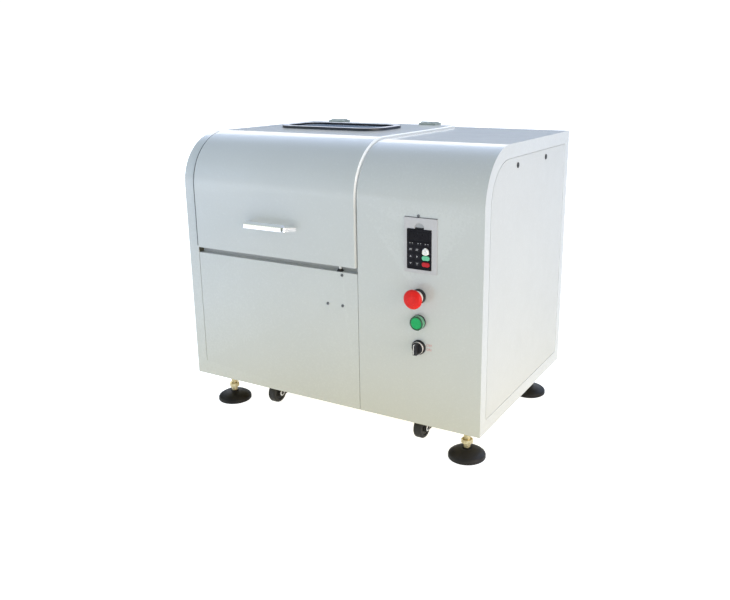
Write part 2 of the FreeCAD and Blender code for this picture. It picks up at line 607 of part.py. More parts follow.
def ring(x, y, z, r_out, r_in, th):
    return turned([(r_in, 0), (r_out, 0), (r_out, th), (r_in, th)], x, y, z)


node(group(house, ring(rx, ry, Z(hz + 4), d.brg_rad, d.shaft_rad + 0.05, d.brg_th),
           ring(rx, ry, Z(d.gear_z - 5 - d.brg_th), d.brg_rad, d.shaft_rad + 0.05, d.brg_th)), "main_bearing_unit")

sr = d.shaft_rad
node(turned([(0, d.shaft_lo), (sr, d.shaft_lo), (sr, dz - 6), (44, dz - 6), (44, dz), (0, dz)], rx, ry, Z(0)), "main_shaft")

# driven pulley, two grooves
pz, pt = d.pul_z, d.pul_th


def pulley_profile(rad, bore, hub):
    g = d.belt_w + 0.6
    za, zb = d.belt_za - 0.3, d.belt_zb - 0.3
    deep = rad - d.belt_th - 1
    return [(bore, pz), (hub, pz), (hub, pz + 12), (rad - 16, pz + 12), (rad - 16, pz), (rad, pz), (rad, za), (deep, za),
            (deep, za + g), (rad, za + g), (rad, zb), (deep, zb), (deep, zb + g), (rad, zb + g), (rad, pz + pt),
            (rad - 16, pz + pt), (rad - 16, pz + 26), (hub, pz + 26), (hub, pz + pt), (bore, pz + pt)]


node(turned(pulley_profile(d.pul_rad, sr, Q(32)), rx, ry, Z(0)), "driven_pulley")

# rotating disc with its four planet bearings pressed in
disc = turned([(0, dz), (d.disc_rad - 3, dz), (d.disc_rad, dz + 3), (d.disc_rad, dz + dt - 3), (d.disc_rad - 3, dz + dt),
               (60, dz + dt), (57, dz + dt - 3), (30, dz + dt - 3), (27, dz + dt), (0, dz + dt)], rx, ry, Z(0))
orb = d.orbit
SPOT = [(orb, Q(0)), (Q(0), orb), (-orb, Q(0)), (Q(0), -orb)]
holes = [cyl(rx + px, ry + py, Z(dz - 2), d.pbrg_rad, dt + 4) for px, py in SPOT]
diag = orb * 1.16 * math.cos(math.pi / 4)
holes += [cyl(rx + diag * sx, ry + diag * sy, Z(dz - 2), 17, dt + 4) for sx in (1, -1) for sy in (1, -1)]
pbs = [ring(rx + px, ry + py, Z(dz + 1.5), d.pbrg_rad, d.spin_rad + 0.05, d.pbrg_th) for px, py in SPOT]
node(group(cut(disc, *holes), *pbs), "sun_disc")


# spur gear blanks: involute flanks as short straight runs
def gear_shape(module, teeth, width, bore, slack, tooth_at_zero):
    rp = module * teeth / 2.0
    rb = rp * math.cos(math.radians(20))
    ra, rf = rp + module, rp - 1.25 * module
    inv = math.tan(math.radians(20)) - math.radians(20)
    half = math.pi / (2 * teeth) - slack / (2 * rp) / 2
    lo = max(rb, rf)
    flank = []
    for i in range(5):
        r = lo + (ra - lo) * i / 4.0
        al = math.acos(min(1.0, rb / r))
        flank.append((r, half + inv - (math.tan(al) - al)))
    pts = []
    for k in range(teeth):
        mid = 2 * math.pi * (k + (0.0 if tooth_at_zero else 0.5)) / teeth
        one = [(rf, flank[0][1] + 0.004)] + flank
        for r, a in one:
            pts.append((r, mid - a))
        for r, a in reversed(one):
            pts.append((r, mid + a))
    vs = [Vector(r * math.cos(a), r * math.sin(a), 0) for r, a in pts]
    face = Part.Face(Part.Wire(Part.makePolygon(vs + [vs[0]]).Edges))
    return face.extrude(Vector(0, 0, width)).cut(Part.makeCylinder(bore, width + 2, Vector(0, 0, -1)))


def gear(name, x, y, bore, tooth_at_zero):
    g = doc.addObject("Part::Feature", name)
    g.Shape = gear_shape(sheet.gear_mod, int(sheet.gear_teeth), sheet.gear_th, bore, sheet.backlash, tooth_at_zero)
    place(g, x, y, Z(d.gear_z))
    return g


node(gear("SunGear", rx, ry, 24.0, True), "sun_gear")

# four jar stations: holder with spindle, gear, cup and clamp bridge; jar with lid; clamp screw
cf, cb = d.cup_floor, d.cup_base_th
jz = cf + cb
jh = d.jar_high
for k, (px, py) in enumerate(SPOT, start=1):
    cx, cy = rx + px, ry + py
    sp = d.spin_rad
    core = turned([(0, d.gear_z), (sp, d.gear_z), (sp, cf - 1), (sp + 6, cf - 1), (sp + 6, cf), (d.cup_out - 4, cf), (d.cup_out, cf + 4),
                   (d.cup_out, d.cup_top), (d.cup_in, d.cup_top), (d.cup_in, jz), (0, jz)], cx, cy, Z(0))
    po, pw, pt2 = d.cup_out, d.post_w, d.post_t
    frame = fuse(
        core,
        box(cx - po - pt2 + 3, cx - po + 3, cy - pw / 2, cy + pw / 2, Z(cf + 6), Z(d.bridge_z + d.bridge_th)),
        box(cx + po - 3, cx + po + pt2 - 3, cy - pw / 2, cy + pw / 2, Z(cf + 6), Z(d.bridge_z + d.bridge_th)),
        box(cx - po, cx + po, cy - pw / 2, cy + pw / 2, Z(d.bridge_z), Z(d.bridge_z + d.bridge_th)),
        cyl(cx, cy, Z(d.bridge_z - 3), 14, d.bridge_th + 6))
    holder = cut(frame, cyl(cx, cy, Z(d.bridge_z - 10), d.clamp_rad + d.case_gap, 40))
    node(group(holder, gear("PlanetGear%d" % k, cx, cy, float(sp.v), False)), "jar_holder_%d" % k)
    jr, jw = d.jar_rad, d.jar_wall
    jar = turned([(0, jz), (jr - 3, jz), (jr, jz + 3), (jr, jz + jh), (jr - jw, jz + jh), (jr - jw, jz + jw + 2),
                  (jr - jw - 4, jz + jw), (0, jz + jw)], cx, cy, Z(0))
    jt = jz + jh
    cap = turned([(0, jt - 4), (jr - jw - 0.4, jt - 4), (jr - jw - 0.4, jt), (jr + 2.5, jt), (jr + 2.5, jt + 12), (jr - 9, jt + 12), (jr - 9, jt + 22),
                  (14, jt + 22), (14, jt + 28), (0, jt + 28)], cx, cy, Z(0))
    node(group(jar, cap), "milling_jar_%d" % k)
    cr = d.clamp_rad
    screw = fuse(
        turned([(0, jt + 28.4), (13, jt + 28.4), (13, jt + 34), (cr, jt + 36), (cr, d.clamp_top - 14), (11, d.clamp_top - 14),
                (11, d.clamp_top - 2), (9, d.clamp_top), (0, d.clamp_top)], cx, cy, Z(0)),
        cyl(cx - 36, cy, Z(d.clamp_top - 8), 4, 72, "x"))
    node(screw, "clamp_screw_%d" % k)

# motor on the deck, shaft down through it, with its pulley
mx, my = X(d.mot_x), Y(d.mot_y)
mr, mt = d.mot_rad, d.mot_top
fins = []
casing = turned([(0, wz), (d.mot_flange, wz), (d.mot_flange, wz + 10), (mr - 6, wz + 14), (mr - 6, mt), (mr, mt + 2), (mr, mt + 34),
                 (mr - 12, mt + 40), (0, mt + 40)], mx, my, Z(0))
for i in range(12):
    b = box(-2, 2, 0, mr, Z(wz + 14), Z(mt - 2))
    b.Placement = Placement(Vector(0, 0, 0), Rotation(Vector(0, 0, 1), 30 * i))
    place(b, mx + 2 * -math.cos(math.radians(30 * i)), my + 2 * -math.sin(math.radians(30 * i)), Z(wz + 14))
    fins.append(b)
motor = fuse(casing, *fins)
motor = fuse(cut(motor, cyl(mx, my, Z(wz - 2), d.mshaft_rad + 0.05, 46)),
             box(mx + mr - 12, mx + mr + 34, my - 38, my + 38, Z(wz + 70), Z(wz + 150)))
node(motor, "motor")
mp = turned(pulley_profile(d.mpul_rad, d.mshaft_rad, Q(22)), mx, my, Z(0))
node(group(mp, turned([(0, d.shaft_lo), (d.mshaft_rad, d.shaft_lo), (d.mshaft_rad, wz + 40), (0, wz + 40)], mx, my, Z(0))), "drive_pulley")


# pair of belts: outside and inside runs tangent to both pulleys
def belt_shape(ax, ay, bx, by, ra, rb, th, width, z):
    def loop(ra, rb):
        dx, dy = bx - ax, by - ay
        dist = math.hypot(dx, dy)
        base = math.atan2(dy, dx)
        off = math.acos((ra - rb) / dist)
        p = [Vector(ax + ra * math.cos(base + s * off), ay + ra * math.sin(base + s * off), z) for s in (1, -1)]
        q = [Vector(bx + rb * math.cos(base + s * off), by + rb * math.sin(base + s * off), z) for s in (1, -1)]
        fa = Vector(ax - ra * math.cos(base), ay - ra * math.sin(base), z)
        fb = Vector(bx + rb * math.cos(base), by + rb * math.sin(base), z)
        return Part.Wire([Part.Arc(p[0], fa, p[1]).toShape(), Part.makeLine(p[1], q[1]),
                          Part.Arc(q[1], fb, q[0]).toShape(), Part.makeLine(q[0], p[0])])
    outer = Part.Face(loop(ra + th, rb + th)).extrude(Vector(0, 0, width))
    inner = Part.Face(loop(ra, rb)).extrude(Vector(0, 0, width))
    return outer.cut(inner)


belts = []
for cell in (d.belt_za, d.belt_zb):
    b = doc.addObject("Part::Feature", "Belt")
    b.Shape = belt_shape(sheet.rot_x, sheet.rot_y, sheet.mot_x, sheet.mot_y, sheet.pul_rad - sheet.belt_th - 0.6,
                         sheet.mpul_rad - sheet.belt_th - 0.6, sheet.belt_th, sheet.belt_w, 0)
    place(b, X(0), Y(0), Z(cell))
    belts.append(b)
node(group(*belts), "drive_belt")

# --------------------------------------------------------- electrics, controls
kx0, kx1, kz0, kz1 = X(d.key_xlo), X(d.key_xhi), Z(d.key_zlo), Z(d.key_zhi)
inv = fuse(box(X(d.key_xlo - 7), X(d.key_xhi + 7), Y(14), Y(14 + d.inv_d), Z(d.key_zlo - 10), Z(d.key_zhi + 20)),
           *[box(X(d.key_xlo - 10), X(d.key_xhi + 10), Y(124), Y(14 + d.inv_d + 6), Z(d.key_zlo - 6) + 13 * i, Z(d.key_zlo) + 13 * i) for i in range(7)])
node(inv, "inverter")
kp = d.key_proud
bez = new_body()
pad(bez, "XZ_Plane", [round_rect(X(d.bez_xlo), X(d.bez_xhi), Z(d.bez_zlo), Z(d.bez_zhi), 3),
                      [(kx0 - 0.3, kz0 - 0.3), (kx1 + 0.3, kz0 - 0.3), (kx1 + 0.3, kz1 + 0.3), (X(623), kz1 + 0.3), (X(623), Z(420), (10.4, 1)),
                       (X(603), Z(420)), (X(603), kz1 + 0.3), (kx0 - 0.3, kz1 + 0.3)]], d.bez_th, -Y(0))
node(bez, "keypad_bezel")


def oval(x, z, w, tall):
    w, tall = Q.of(w), Q.of(tall)
    rad, up, out = tall * 0.52, tall / 2, w / 2 - tall * 0.377
    return [(x - out, z - up), (x + out, z - up, (rad, 1)), (x + out, z + up), (x - out, z + up, (rad, 1))]


keyp = new_body()
pad(keyp, "XZ_Plane", [round_rect(kx0, kx1, kz0, kz1, 2.5)], 14 + kp, -Y(14))
pocket(keyp, "XZ_Plane", [rect(X(591), X(635), Z(391), Z(411))], 1, -Y(-kp), False)
pocket(keyp, "XZ_Plane", [("circle", X(d.dial_x), Z(d.dial_z), d.dial_rad + 0.3)], 10, -Y(-kp), False)
pocket(keyp, "XZ_Plane", [oval(X(d.dial_x), Z(d.run_z), d.key_w + 0.6, d.key_tall + 0.6)], 8, -Y(-kp), False)
pocket(keyp, "XZ_Plane", [oval(X(d.dial_x), Z(d.stop_z), d.key_w + 0.6, d.key_tall + 0.6)], 8, -Y(-kp), False)
node(keyp, "keypad_panel")
for nm, kz in (("run_key", d.run_z), ("stop_key", d.stop_z)):
    b = new_body()
    pad(b, "XZ_Plane", [oval(X(d.dial_x), Z(kz), d.key_w, d.key_tall)], 6.5, -Y(-kp + 5))
    node(b, nm)
dr = d.dial_rad
node(turned([(0, 0), (dr, 0), (dr, 11.5), (dr - 1, 12.8), (dr - 3, 12.8), (dr - 3.6, 12.2), (0, 12.2)], X(d.dial_x), Y(-kp + 9.4), Z(d.dial_z), "-y"), "speed_dial")

# three 22 mm devices: front ring, barrel and contact block each
br = d.btn_ring
dev = []
for zc, kind in ((d.stop_btn_z, "stop"), (d.pilot_z, "lamp"), (d.sel_z, "turn")):
    if kind == "stop":
        prof = [(8.4, -16.5), (12.2, -16.5), (12.8, -15.9), (14.0, -5), (br - 0.5, -4.6), (br, -4), (br, 0), (10.9, 0), (10.9, 30), (8.4, 30)]
    elif kind == "lamp":
        prof = [(8, -2), (11.2, -2), (11.2, -4), (br - 0.6, -4), (br, -3), (br, 0), (10.9, 0), (10.9, 30), (8, 30)]
    else:
        prof = [(7, -5), (13.4, -5), (13.8, -4.4), (br - 0.4, -4.4), (br, -3.6), (br, 0), (10.9, 0), (10.9, 30), (7, 30)]
    dev.append(fuse(turned(prof, X(d.btn_x), Y(0), Z(zc), "y"),
                    box(X(d.btn_x - 15), X(d.btn_x + 15), Y(30), Y(68), Z(zc - 21), Z(zc + 21)),
                    cyl(X(d.btn_x), Y(T), Z(zc), 14.5, 4, "y")))
dev = [cut(v, cyl(X(d.btn_x), Y(T - 4), Z(zc), 8 if i != 0 else 8.4, 30, "y")) for i, (v, zc) in
       enumerate(zip(dev, (d.stop_btn_z, d.pilot_z, d.sel_z)))]
node(group(*dev), "button_bodies")

er, eo, eb = d.estop_rad, d.estop_out, d.estop_back
node(turned([(0, -eo), (9, -eo), (9.6, -eo + 0.5), (er - 7, 0.8 - eo), (er - 2.2, 2.8 - eo), (er, 6 - eo), (er, 9.5 - eo), (er - 1.6, 11.5 - eo),
             (13.5, -eb), (8, -eb), (8, 12), (0, 12)], X(d.btn_x), Y(0), Z(d.stop_btn_z), "y"), "estop_head")
po, pl = d.pilot_out, d.pilot_rad
node(turned([(0, 0.7 - po), (pl - 3.4, 0.7 - po), (pl - 2.9, -po), (pl - 1.2, -po), (pl, 1.2 - po), (pl, -4.2), (11, -4.2), (11, -2.2), (0, -2.2)],
            X(d.btn_x), Y(0), Z(d.pilot_z), "y"), "pilot_lens")
so = d.sel_out
knob = fuse(turned([(0, -10), (11.2, -10), (12.4, -9), (12.8, -5.4), (6.7, -5.4), (6.7, 10), (0, 10)], X(d.btn_x), Y(0), Z(d.sel_z), "y"),
            box(X(d.btn_x - 4.2), X(d.btn_x + 4.2), Y(-so), Y(-9), Z(d.sel_z - 12), Z(d.sel_z + 12)))
node(knob, "selector_knob")

pr = d.plunger_rad
node(turned([(0, 288), (pr, 288), (pr, 317.6), (pr - 1, 318.6), (0, 318.6)], X(d.plunger_x), Y(d.plunger_y), Z(0)), "interlock_plunger")

# flanged mains inlet with its recess and three blades
iw, ih = d.inlet_w, d.inlet_tall
ix, iz = d.inlet_x, d.inlet_z
inlet = cut(fuse(box(X(ix - iw / 2), X(ix + iw / 2), Y(D), Y(D + d.inlet_th), Z(iz - ih / 2), Z(iz + ih / 2)),
                 box(X(ix - iw / 2 + 6), X(ix + iw / 2 - 6), Y(D - 34), Y(D + 1), Z(iz - ih / 2 + 5), Z(iz + ih / 2 - 5))),
            box(X(ix - iw / 2 + 9), X(ix + iw / 2 - 9), Y(D - 20), Y(D + 8), Z(iz - ih / 2 + 7.5), Z(iz + ih / 2 - 7.5)))
inlet = fuse(inlet, *[box(X(ix + bx - 1), X(ix + bx + 1), Y(D - 24), Y(D - 3), Z(iz + bz - 3), Z(iz + bz + 3))
                      for bx, bz in ((-8, -4), (0, -1), (8, -4))])
node(inlet, "mains_inlet")

# ------------------------------------------------------------- feet, casters
cz = d.clear_z
SIDES = (("fl", d.foot_x, d.foot_ya), ("fr", W - d.foot_x, d.foot_ya), ("rl", d.foot_x, d.foot_yb), ("rr", W - d.foot_x, d.foot_yb))
for nm, fx, fy in SIDES:
    pad_r = d.pad_rad
    sole = turned([(0, 0), (pad_r - 1.5, 0), (pad_r, 1.5), (pad_r, 7.5), (pad_r - 1.2, 10.2), (pad_r - 4.5, 13.2), (30, 16.8), (23, 19.5), (16, 21.4), (12, 22), (0, 22)],
                  X(fx), Y(fy), 0)
    stud = cyl(X(fx), Y(fy), 22, d.stud_rad, cz + 42 - 22)
    hexa = place(hexagon(X(fx), Y(fy), 33, 25.4, 10), X(fx), Y(fy), 33, FreeCAD.Rotation(FreeCAD.Vector(0, 0, 1), 24))
    nut = cut(hexa, cyl(X(fx), Y(fy), 32, d.stud_rad, 20))
    node(group(sole, stud, nut), "foot_" + nm)

plates = []
WHL = (("fl", d.cast_xa, d.cast_ya), ("fr", d.cast_xb, d.cast_ya), ("rl", d.cast_xa, d.cast_yb), ("rr", d.cast_xb, d.cast_yb))
wr, ww, tr = d.wheel_rad, d.wheel_w, d.trail
axz = d.wheel_low + wr
for nm, wx, wy in WHL:
    plates.append(fuse(box(X(wx) - 30, X(wx) + 30, Y(wy) + tr - 25, Y(wy) + tr + 25, Z(T - 3), Z(T)),
                       turned([(0, -8), (20, -8), (23, -5), (23, -1), (0, -1)], X(wx), Y(wy) + tr, cz)))
    # fork: crown under the race, two cheeks down to the axle, axle included
    fk = fuse(turned([(0, -13), (17, -13), (21, -10.5), (21, -8.4), (0, -8.4)], X(wx), Y(wy) + tr, cz),
              *[box(X(wx) + a, X(wx) + a + 2.5, Y(wy) - 8, Y(wy) + tr + 14, axz - 8, cz - 10.5) for a in (-ww / 2 - 4.5, ww / 2 + 2)],
              cyl(X(wx) - ww / 2 - 7, Y(wy), axz, 4, ww + 14, "x"))
    node(fk, "caster_fork_" + nm)
    node(turned([(4.05, -ww / 2 - 1), (10, -ww / 2 - 1), (10, -ww / 2 + 3), (18, -ww / 2 + 3), (18, -ww / 2), (wr - 2, -ww / 2), (wr, -ww / 2 + 3), (wr, ww / 2 - 3),
                 (wr - 2, ww / 2), (18, ww / 2), (18, ww / 2 - 3), (10, ww / 2 - 3), (10, ww / 2 + 1), (4.05, ww / 2 + 1)], X(wx), Y(wy), axz, "x"), "caster_wheel_" + nm)
node(group(*plates), "caster_plates")

# ------------------------------------------------------------ check and write
doc.recompute()
bad = []
for o in doc.Objects:
    if "Invalid" in o.State or "Error" in o.State:
        bad.append("%s (%s) %s" % (o.Name, o.Label, o.State))
for o in NODES:
    if o.Shape.isNull() or not o.Shape.isValid() or not o.Shape.Solids:
        bad.append("shape of " + o.Label)
if bad:
    raise RuntimeError("; ".join(bad[:12]))
os.makedirs("parts", exist_ok=True)
for o in NODES:
    o.Shape.exportStep("parts/%s.step" % o.Label)
bb = FreeCAD.BoundBox()
for o in NODES:
    bb.add(o.Shape.BoundBox)
print("nodes", len(NODES))
print("box", [round(v, 2) for v in (bb.XMin, bb.XMax, bb.YMin, bb.YMax, bb.ZMin, bb.ZMax)])
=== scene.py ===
import math

import bmesh
import bpy
from mathutils import Matrix, Vector


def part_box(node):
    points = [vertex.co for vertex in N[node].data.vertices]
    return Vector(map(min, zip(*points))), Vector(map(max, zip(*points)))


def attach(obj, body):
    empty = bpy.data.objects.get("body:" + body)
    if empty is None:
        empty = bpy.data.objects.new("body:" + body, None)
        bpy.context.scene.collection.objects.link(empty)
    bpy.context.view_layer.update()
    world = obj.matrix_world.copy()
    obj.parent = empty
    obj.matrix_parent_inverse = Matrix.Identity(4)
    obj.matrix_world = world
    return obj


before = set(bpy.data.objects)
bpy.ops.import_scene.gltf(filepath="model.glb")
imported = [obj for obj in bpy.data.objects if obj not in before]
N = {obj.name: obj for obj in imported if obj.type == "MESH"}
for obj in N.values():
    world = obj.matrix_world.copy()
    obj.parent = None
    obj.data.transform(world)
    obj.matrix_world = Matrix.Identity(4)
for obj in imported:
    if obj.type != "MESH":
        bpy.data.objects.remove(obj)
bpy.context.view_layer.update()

rad = math.radians
sc = bpy.context.scene

# ------------------------------------------------------------------ the frame
# Cabinet places: x from its left side, y from its front face, z from its underside, in millimetres.
X0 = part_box("left_side_panel")[0].x
Y0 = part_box("right_housing")[0].y
Z0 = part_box("right_housing")[0].z
WIDE, DEEP, TALL = 750.0, 503.0, 576.0


def pt(x, y, z):
    return Vector((X0 + x / 1000, Y0 + y / 1000, Z0 + z / 1000))


def mm(v):
    return (v.x - X0) * 1000, (v.y - Y0) * 1000, (v.z - Z0) * 1000


# Faces to build on: (u, v) in the face, w out of it.
def front(u, v, w):
    return pt(u, -w, v)


def back(u, v, w):
    return pt(u, DEEP + w, v)


def top(z):
    return lambda u, v, w: pt(u, v, z + w)


def right(u, v, w):
    return pt(WIDE + w, u, v)


def left(u, v, w):
    return pt(-w, u, v)


# -------------------------------------------------------------------- camera
cam_data = bpy.data.cameras.new("camera")
cam = bpy.data.objects.new("camera", cam_data)
sc.collection.objects.link(cam)
sc.camera = cam
CAM_AT = pt(1292.633, -1302.990, 715.905)
yaw, pitch, roll = rad(29.03417), rad(14.92156), rad(-0.23425)
fwd = Vector((-math.sin(yaw) * math.cos(pitch), math.cos(yaw) * math.cos(pitch), -math.sin(pitch)))
rgt = Vector((math.cos(yaw), math.sin(yaw), 0))
upv = rgt.cross(fwd)
r2 = rgt * math.cos(roll) + upv * math.sin(roll)
u2 = -rgt * math.sin(roll) + upv * math.cos(roll)
cam.matrix_world = Matrix((
    (r2.x, u2.x, -fwd.x, CAM_AT.x), (r2.y, u2.y, -fwd.y, CAM_AT.y), (r2.z, u2.z, -fwd.z, CAM_AT.z), (0, 0, 0, 1)))
cam_data.sensor_fit = "HORIZONTAL"
cam_data.sensor_width = 36.0
cam_data.lens = 765.9025 * 36.0 / 730.0
cam_data.shift_x = (365.0 - 400.458) / 730.0
cam_data.shift_y = (274.343 - 300.0) / 730.0
cam_data.clip_start, cam_data.clip_end = 0.05, 400
cam_data.dof.use_dof = False

# ----------------------------------------------------------- light and floor
sc.view_settings.view_transform = "Standard"
sc.view_settings.look = "None"
sc.view_settings.exposure = 0.0
sc.view_settings.gamma = 1.0

world = bpy.data.worlds.new("studio")
sc.world = world
world.use_nodes = True
wn = world.node_tree
for n in list(wn.nodes):
    wn.nodes.remove(n)
w_out = wn.nodes.new("ShaderNodeOutputWorld")


def w_node(kind, **kw):
    n = wn.nodes.new(kind)
    for k, v in kw.items():
        setattr(n, k, v)
    return n


def w_ramp(stops):
    r = w_node("ShaderNodeValToRGB")
    e = r.color_ramp.elements
    e[0].position, e[0].color = stops[0][0], (*stops[0][1], 1)
    e[1].position, e[1].color = stops[-1][0], (*stops[-1][1], 1)
    for p, c in stops[1:-1]:
        x = e.new(p)
        x.color = (*c, 1)
    return r


# Room light: bright low down in front, a darker strip low behind, dim overhead. The backdrop itself is plain white.
w_tc = w_node("ShaderNodeTexCoord")
w_sep = w_node("ShaderNodeSeparateXYZ")
wn.links.new(w_tc.outputs["Generated"], w_sep.inputs[0])
w_fr = w_ramp([(0.0, (0.406, 0.421, 0.321)), (0.16, (0.406, 0.421, 0.321)), (0.30, (0.53, 0.593, 0.518)), (0.55, (0.53, 0.603, 0.55)), (1.0, (0.54, 0.61, 0.74))])
w_bk = w_ramp([(0.0, (0.20, 0.27, 0.38)), (0.12, (0.20, 0.27, 0.395)), (0.20, (0.48, 0.60, 0.72)), (0.60, (1.55, 1.83, 2.45)), (0.80, (1.16, 1.37, 1.86)), (1.0, (0.53, 0.60, 0.72))])
wn.links.new(w_sep.outputs["Z"], w_fr.inputs[0])
wn.links.new(w_sep.outputs["Z"], w_bk.inputs[0])
w_y = w_node("ShaderNodeMapRange", interpolation_type="SMOOTHSTEP")
w_y.inputs["From Min"].default_value = 0.05
w_y.inputs["From Max"].default_value = 0.55
wn.links.new(w_sep.outputs["Y"], w_y.inputs["Value"])
w_mix = w_node("ShaderNodeMix", data_type="RGBA")
wn.links.new(w_y.outputs[0], w_mix.inputs["Factor"])
wn.links.new(w_fr.outputs[0], w_mix.inputs["A"])
wn.links.new(w_bk.outputs[0], w_mix.inputs["B"])
w_bg = w_node("ShaderNodeBackground")
wn.links.new(w_mix.outputs["Result"], w_bg.inputs["Color"])
w_wh = w_node("ShaderNodeBackground")
w_wh.inputs["Color"].default_value = (1, 1, 1, 1)
w_wh.inputs["Strength"].default_value = 1.05
w_lp = w_node("ShaderNodeLightPath")
w_ms = w_node("ShaderNodeMixShader")
wn.links.new(w_lp.outputs["Is Camera Ray"], w_ms.inputs[0])
wn.links.new(w_bg.outputs[0], w_ms.inputs[1])
wn.links.new(w_wh.outputs[0], w_ms.inputs[2])
wn.links.new(w_ms.outputs[0], w_out.inputs[0])


def area(name, at, to, sx, sy, power, colour, spread=180, fill=False):
    """A rectangular light. A fill light has no reflection and throws no shadow."""
    d = bpy.data.lights.new(name, "AREA")
    d.shape = "RECTANGLE"
    d.size, d.size_y = sx, sy
    d.energy = power
    d.color = colour
    d.spread = rad(spread)
    o = bpy.data.objects.new(name, d)
    sc.collection.objects.link(o)
    at, to = Vector(at), Vector(to)
    o.matrix_world = Matrix.Translation(at) @ (to - at).to_track_quat("-Z", "Y").to_matrix().to_4x4()
    o.visible_camera = False
    if fill:
        d.use_shadow = False
        o.visible_glossy = False
    return o


area("back_window", (-1.9, 3.2, 2.15), (-0.25, -0.1, 0.66), 5.4, 1.75, 45.3, (1.0, 0.892, 0.733))
area("side_box", (3.0, -0.85, 0.80), (0.35, -0.08, 0.26), 2.2, 1.6, 40.5, (1.0, 0.828, 0.727))
area("cool_left", (-1.0, -1.25, 0.80), (-0.25, -0.24, 0.44), 0.8, 0.7, 7.0, (0.56, 0.70, 1.0), fill=True)
area("warm_low", (0.95, -1.35, 0.07), (0.22, -0.24, 0.20), 0.42, 0.30, 1.8, (1.0, 0.90, 0.36), fill=True)
area("warm_side", (0.86, -0.12, 0.05), (0.376, -0.08, 0.12), 0.5, 0.2, 0.42, (1.0, 0.86, 0.62), fill=True)
area("warm_floor", (0.15, -1.0, 0.03), (0.05, -0.25, 0.10), 2.2, 0.4, 1.07, (1.0, 0.785, 0.344), fill=True)

card = area("front_card", (-1.36, -1.82, 0.50), (-0.12, -0.27, 0.47), 1.0, 0.5, 1.1, (1.0, 1.0, 1.0))
card.visible_diffuse = False
card.visible_shadow = False


def flag(name, azimuth, dist, width, z0, z1):
    """A black card beside the set: the camera does not see it, chrome and gloss do."""
    a = rad(azimuth)
    c = Vector((0.0 + math.sin(a) * dist, -0.25 - math.cos(a) * dist, 0.0))
    t = Vector((math.cos(a), math.sin(a), 0.0)) * (width / 2)
    me = bpy.data.meshes.new(name)
    me.from_pydata([c - t + Vector((0, 0, z0)), c + t + Vector((0, 0, z0)), c + t + Vector((0, 0, z1)), c - t + Vector((0, 0, z1))],
                   [], [(0, 1, 2, 3)])
    o = bpy.data.objects.new(name, me)
    sc.collection.objects.link(o)
    o.visible_camera = False
    o.visible_shadow = False
    m = bpy.data.materials.new(name)
    m.use_nodes = True
    m.node_tree.nodes["Principled BSDF"].inputs["Base Color"].default_value = (0.01, 0.01, 0.01, 1)
    m.node_tree.nodes["Principled BSDF"].inputs["Specular IOR Level"].default_value = 0.0
    me.materials.append(m)
    return o


flag("flag_front", 8, 2.4, 0.62, 0.02, 0.75)
flag("flag_left", -104, 1.9, 1.1, 0.02, 0.75)

floor_mesh = bpy.data.meshes.new("studio_floor")
fb = bmesh.new()
bmesh.ops.create_grid(fb, x_segments=8, y_segments=8, size=120)
fb.to_mesh(floor_mesh)
fb.free()
floor = bpy.data.objects.new("studio_floor", floor_mesh)
sc.collection.objects.link(floor)
fm = bpy.data.materials.new("studio_floor")
fm.use_nodes = True
fnt = fm.node_tree
fbs = fnt.nodes["Principled BSDF"]
fbs.inputs["Roughness"].default_value = 0.9
fbs.inputs["Specular IOR Level"].default_value = 0.1


def f_node(kind, **kw):
    n = fnt.nodes.new(kind)
    for k, v in kw.items():
        setattr(n, k, v)
    return n


def f_mix(fac, a, b):
    n = f_node("ShaderNodeMix", data_type="RGBA")
    fnt.links.new(fac, n.inputs["Factor"])
    for s, c in (("A", a), ("B", b)):
        if isinstance(c, tuple):
            n.inputs[s].default_value = (*c, 1)
        else:
            fnt.links.new(c, n.inputs[s])
    return n.outputs["Result"]


# The paper is white to the camera and near white to the chrome. To bounce rays it is warm close to the machine and
# neutral further out, and it glows: a painted pool of warm light close to the machine and a fainter cool glow further
# out, lighting the machine from below.
f_lp = f_node("ShaderNodeLightPath")
f_tc = f_node("ShaderNodeTexCoord")
f_len = f_node("ShaderNodeVectorMath", operation="LENGTH")
fnt.links.new(f_tc.outputs["Object"], f_len.inputs[0])
f_far = f_node("ShaderNodeMapRange", interpolation_type="SMOOTHSTEP")
f_far.inputs["From Min"].default_value = 0.35
f_far.inputs["From Max"].default_value = 1.15
fnt.links.new(f_len.outputs["Value"], f_far.inputs["Value"])
f_warm = f_mix(f_far.outputs[0], (0.92, 0.82, 0.50), (0.86, 0.87, 0.88))
fnt.links.new(f_mix(f_lp.outputs["Is Diffuse Ray"], (0.90, 0.90, 0.90), f_warm), fbs.inputs["Base Color"])
bounce = f_mix(f_far.outputs[0], (0.453, 0.314, 0.075), (0.20, 0.225, 0.29))
seen = f_mix(f_lp.outputs["Is Glossy Ray"], (0.80, 0.80, 0.80), (0.333, 0.348, 0.369))
fnt.links.new(f_mix(f_lp.outputs["Is Diffuse Ray"], seen, bounce), fbs.inputs["Emission Color"])
fbs.inputs["Emission Strength"].default_value = 1.0
floor_mesh.materials.append(fm)


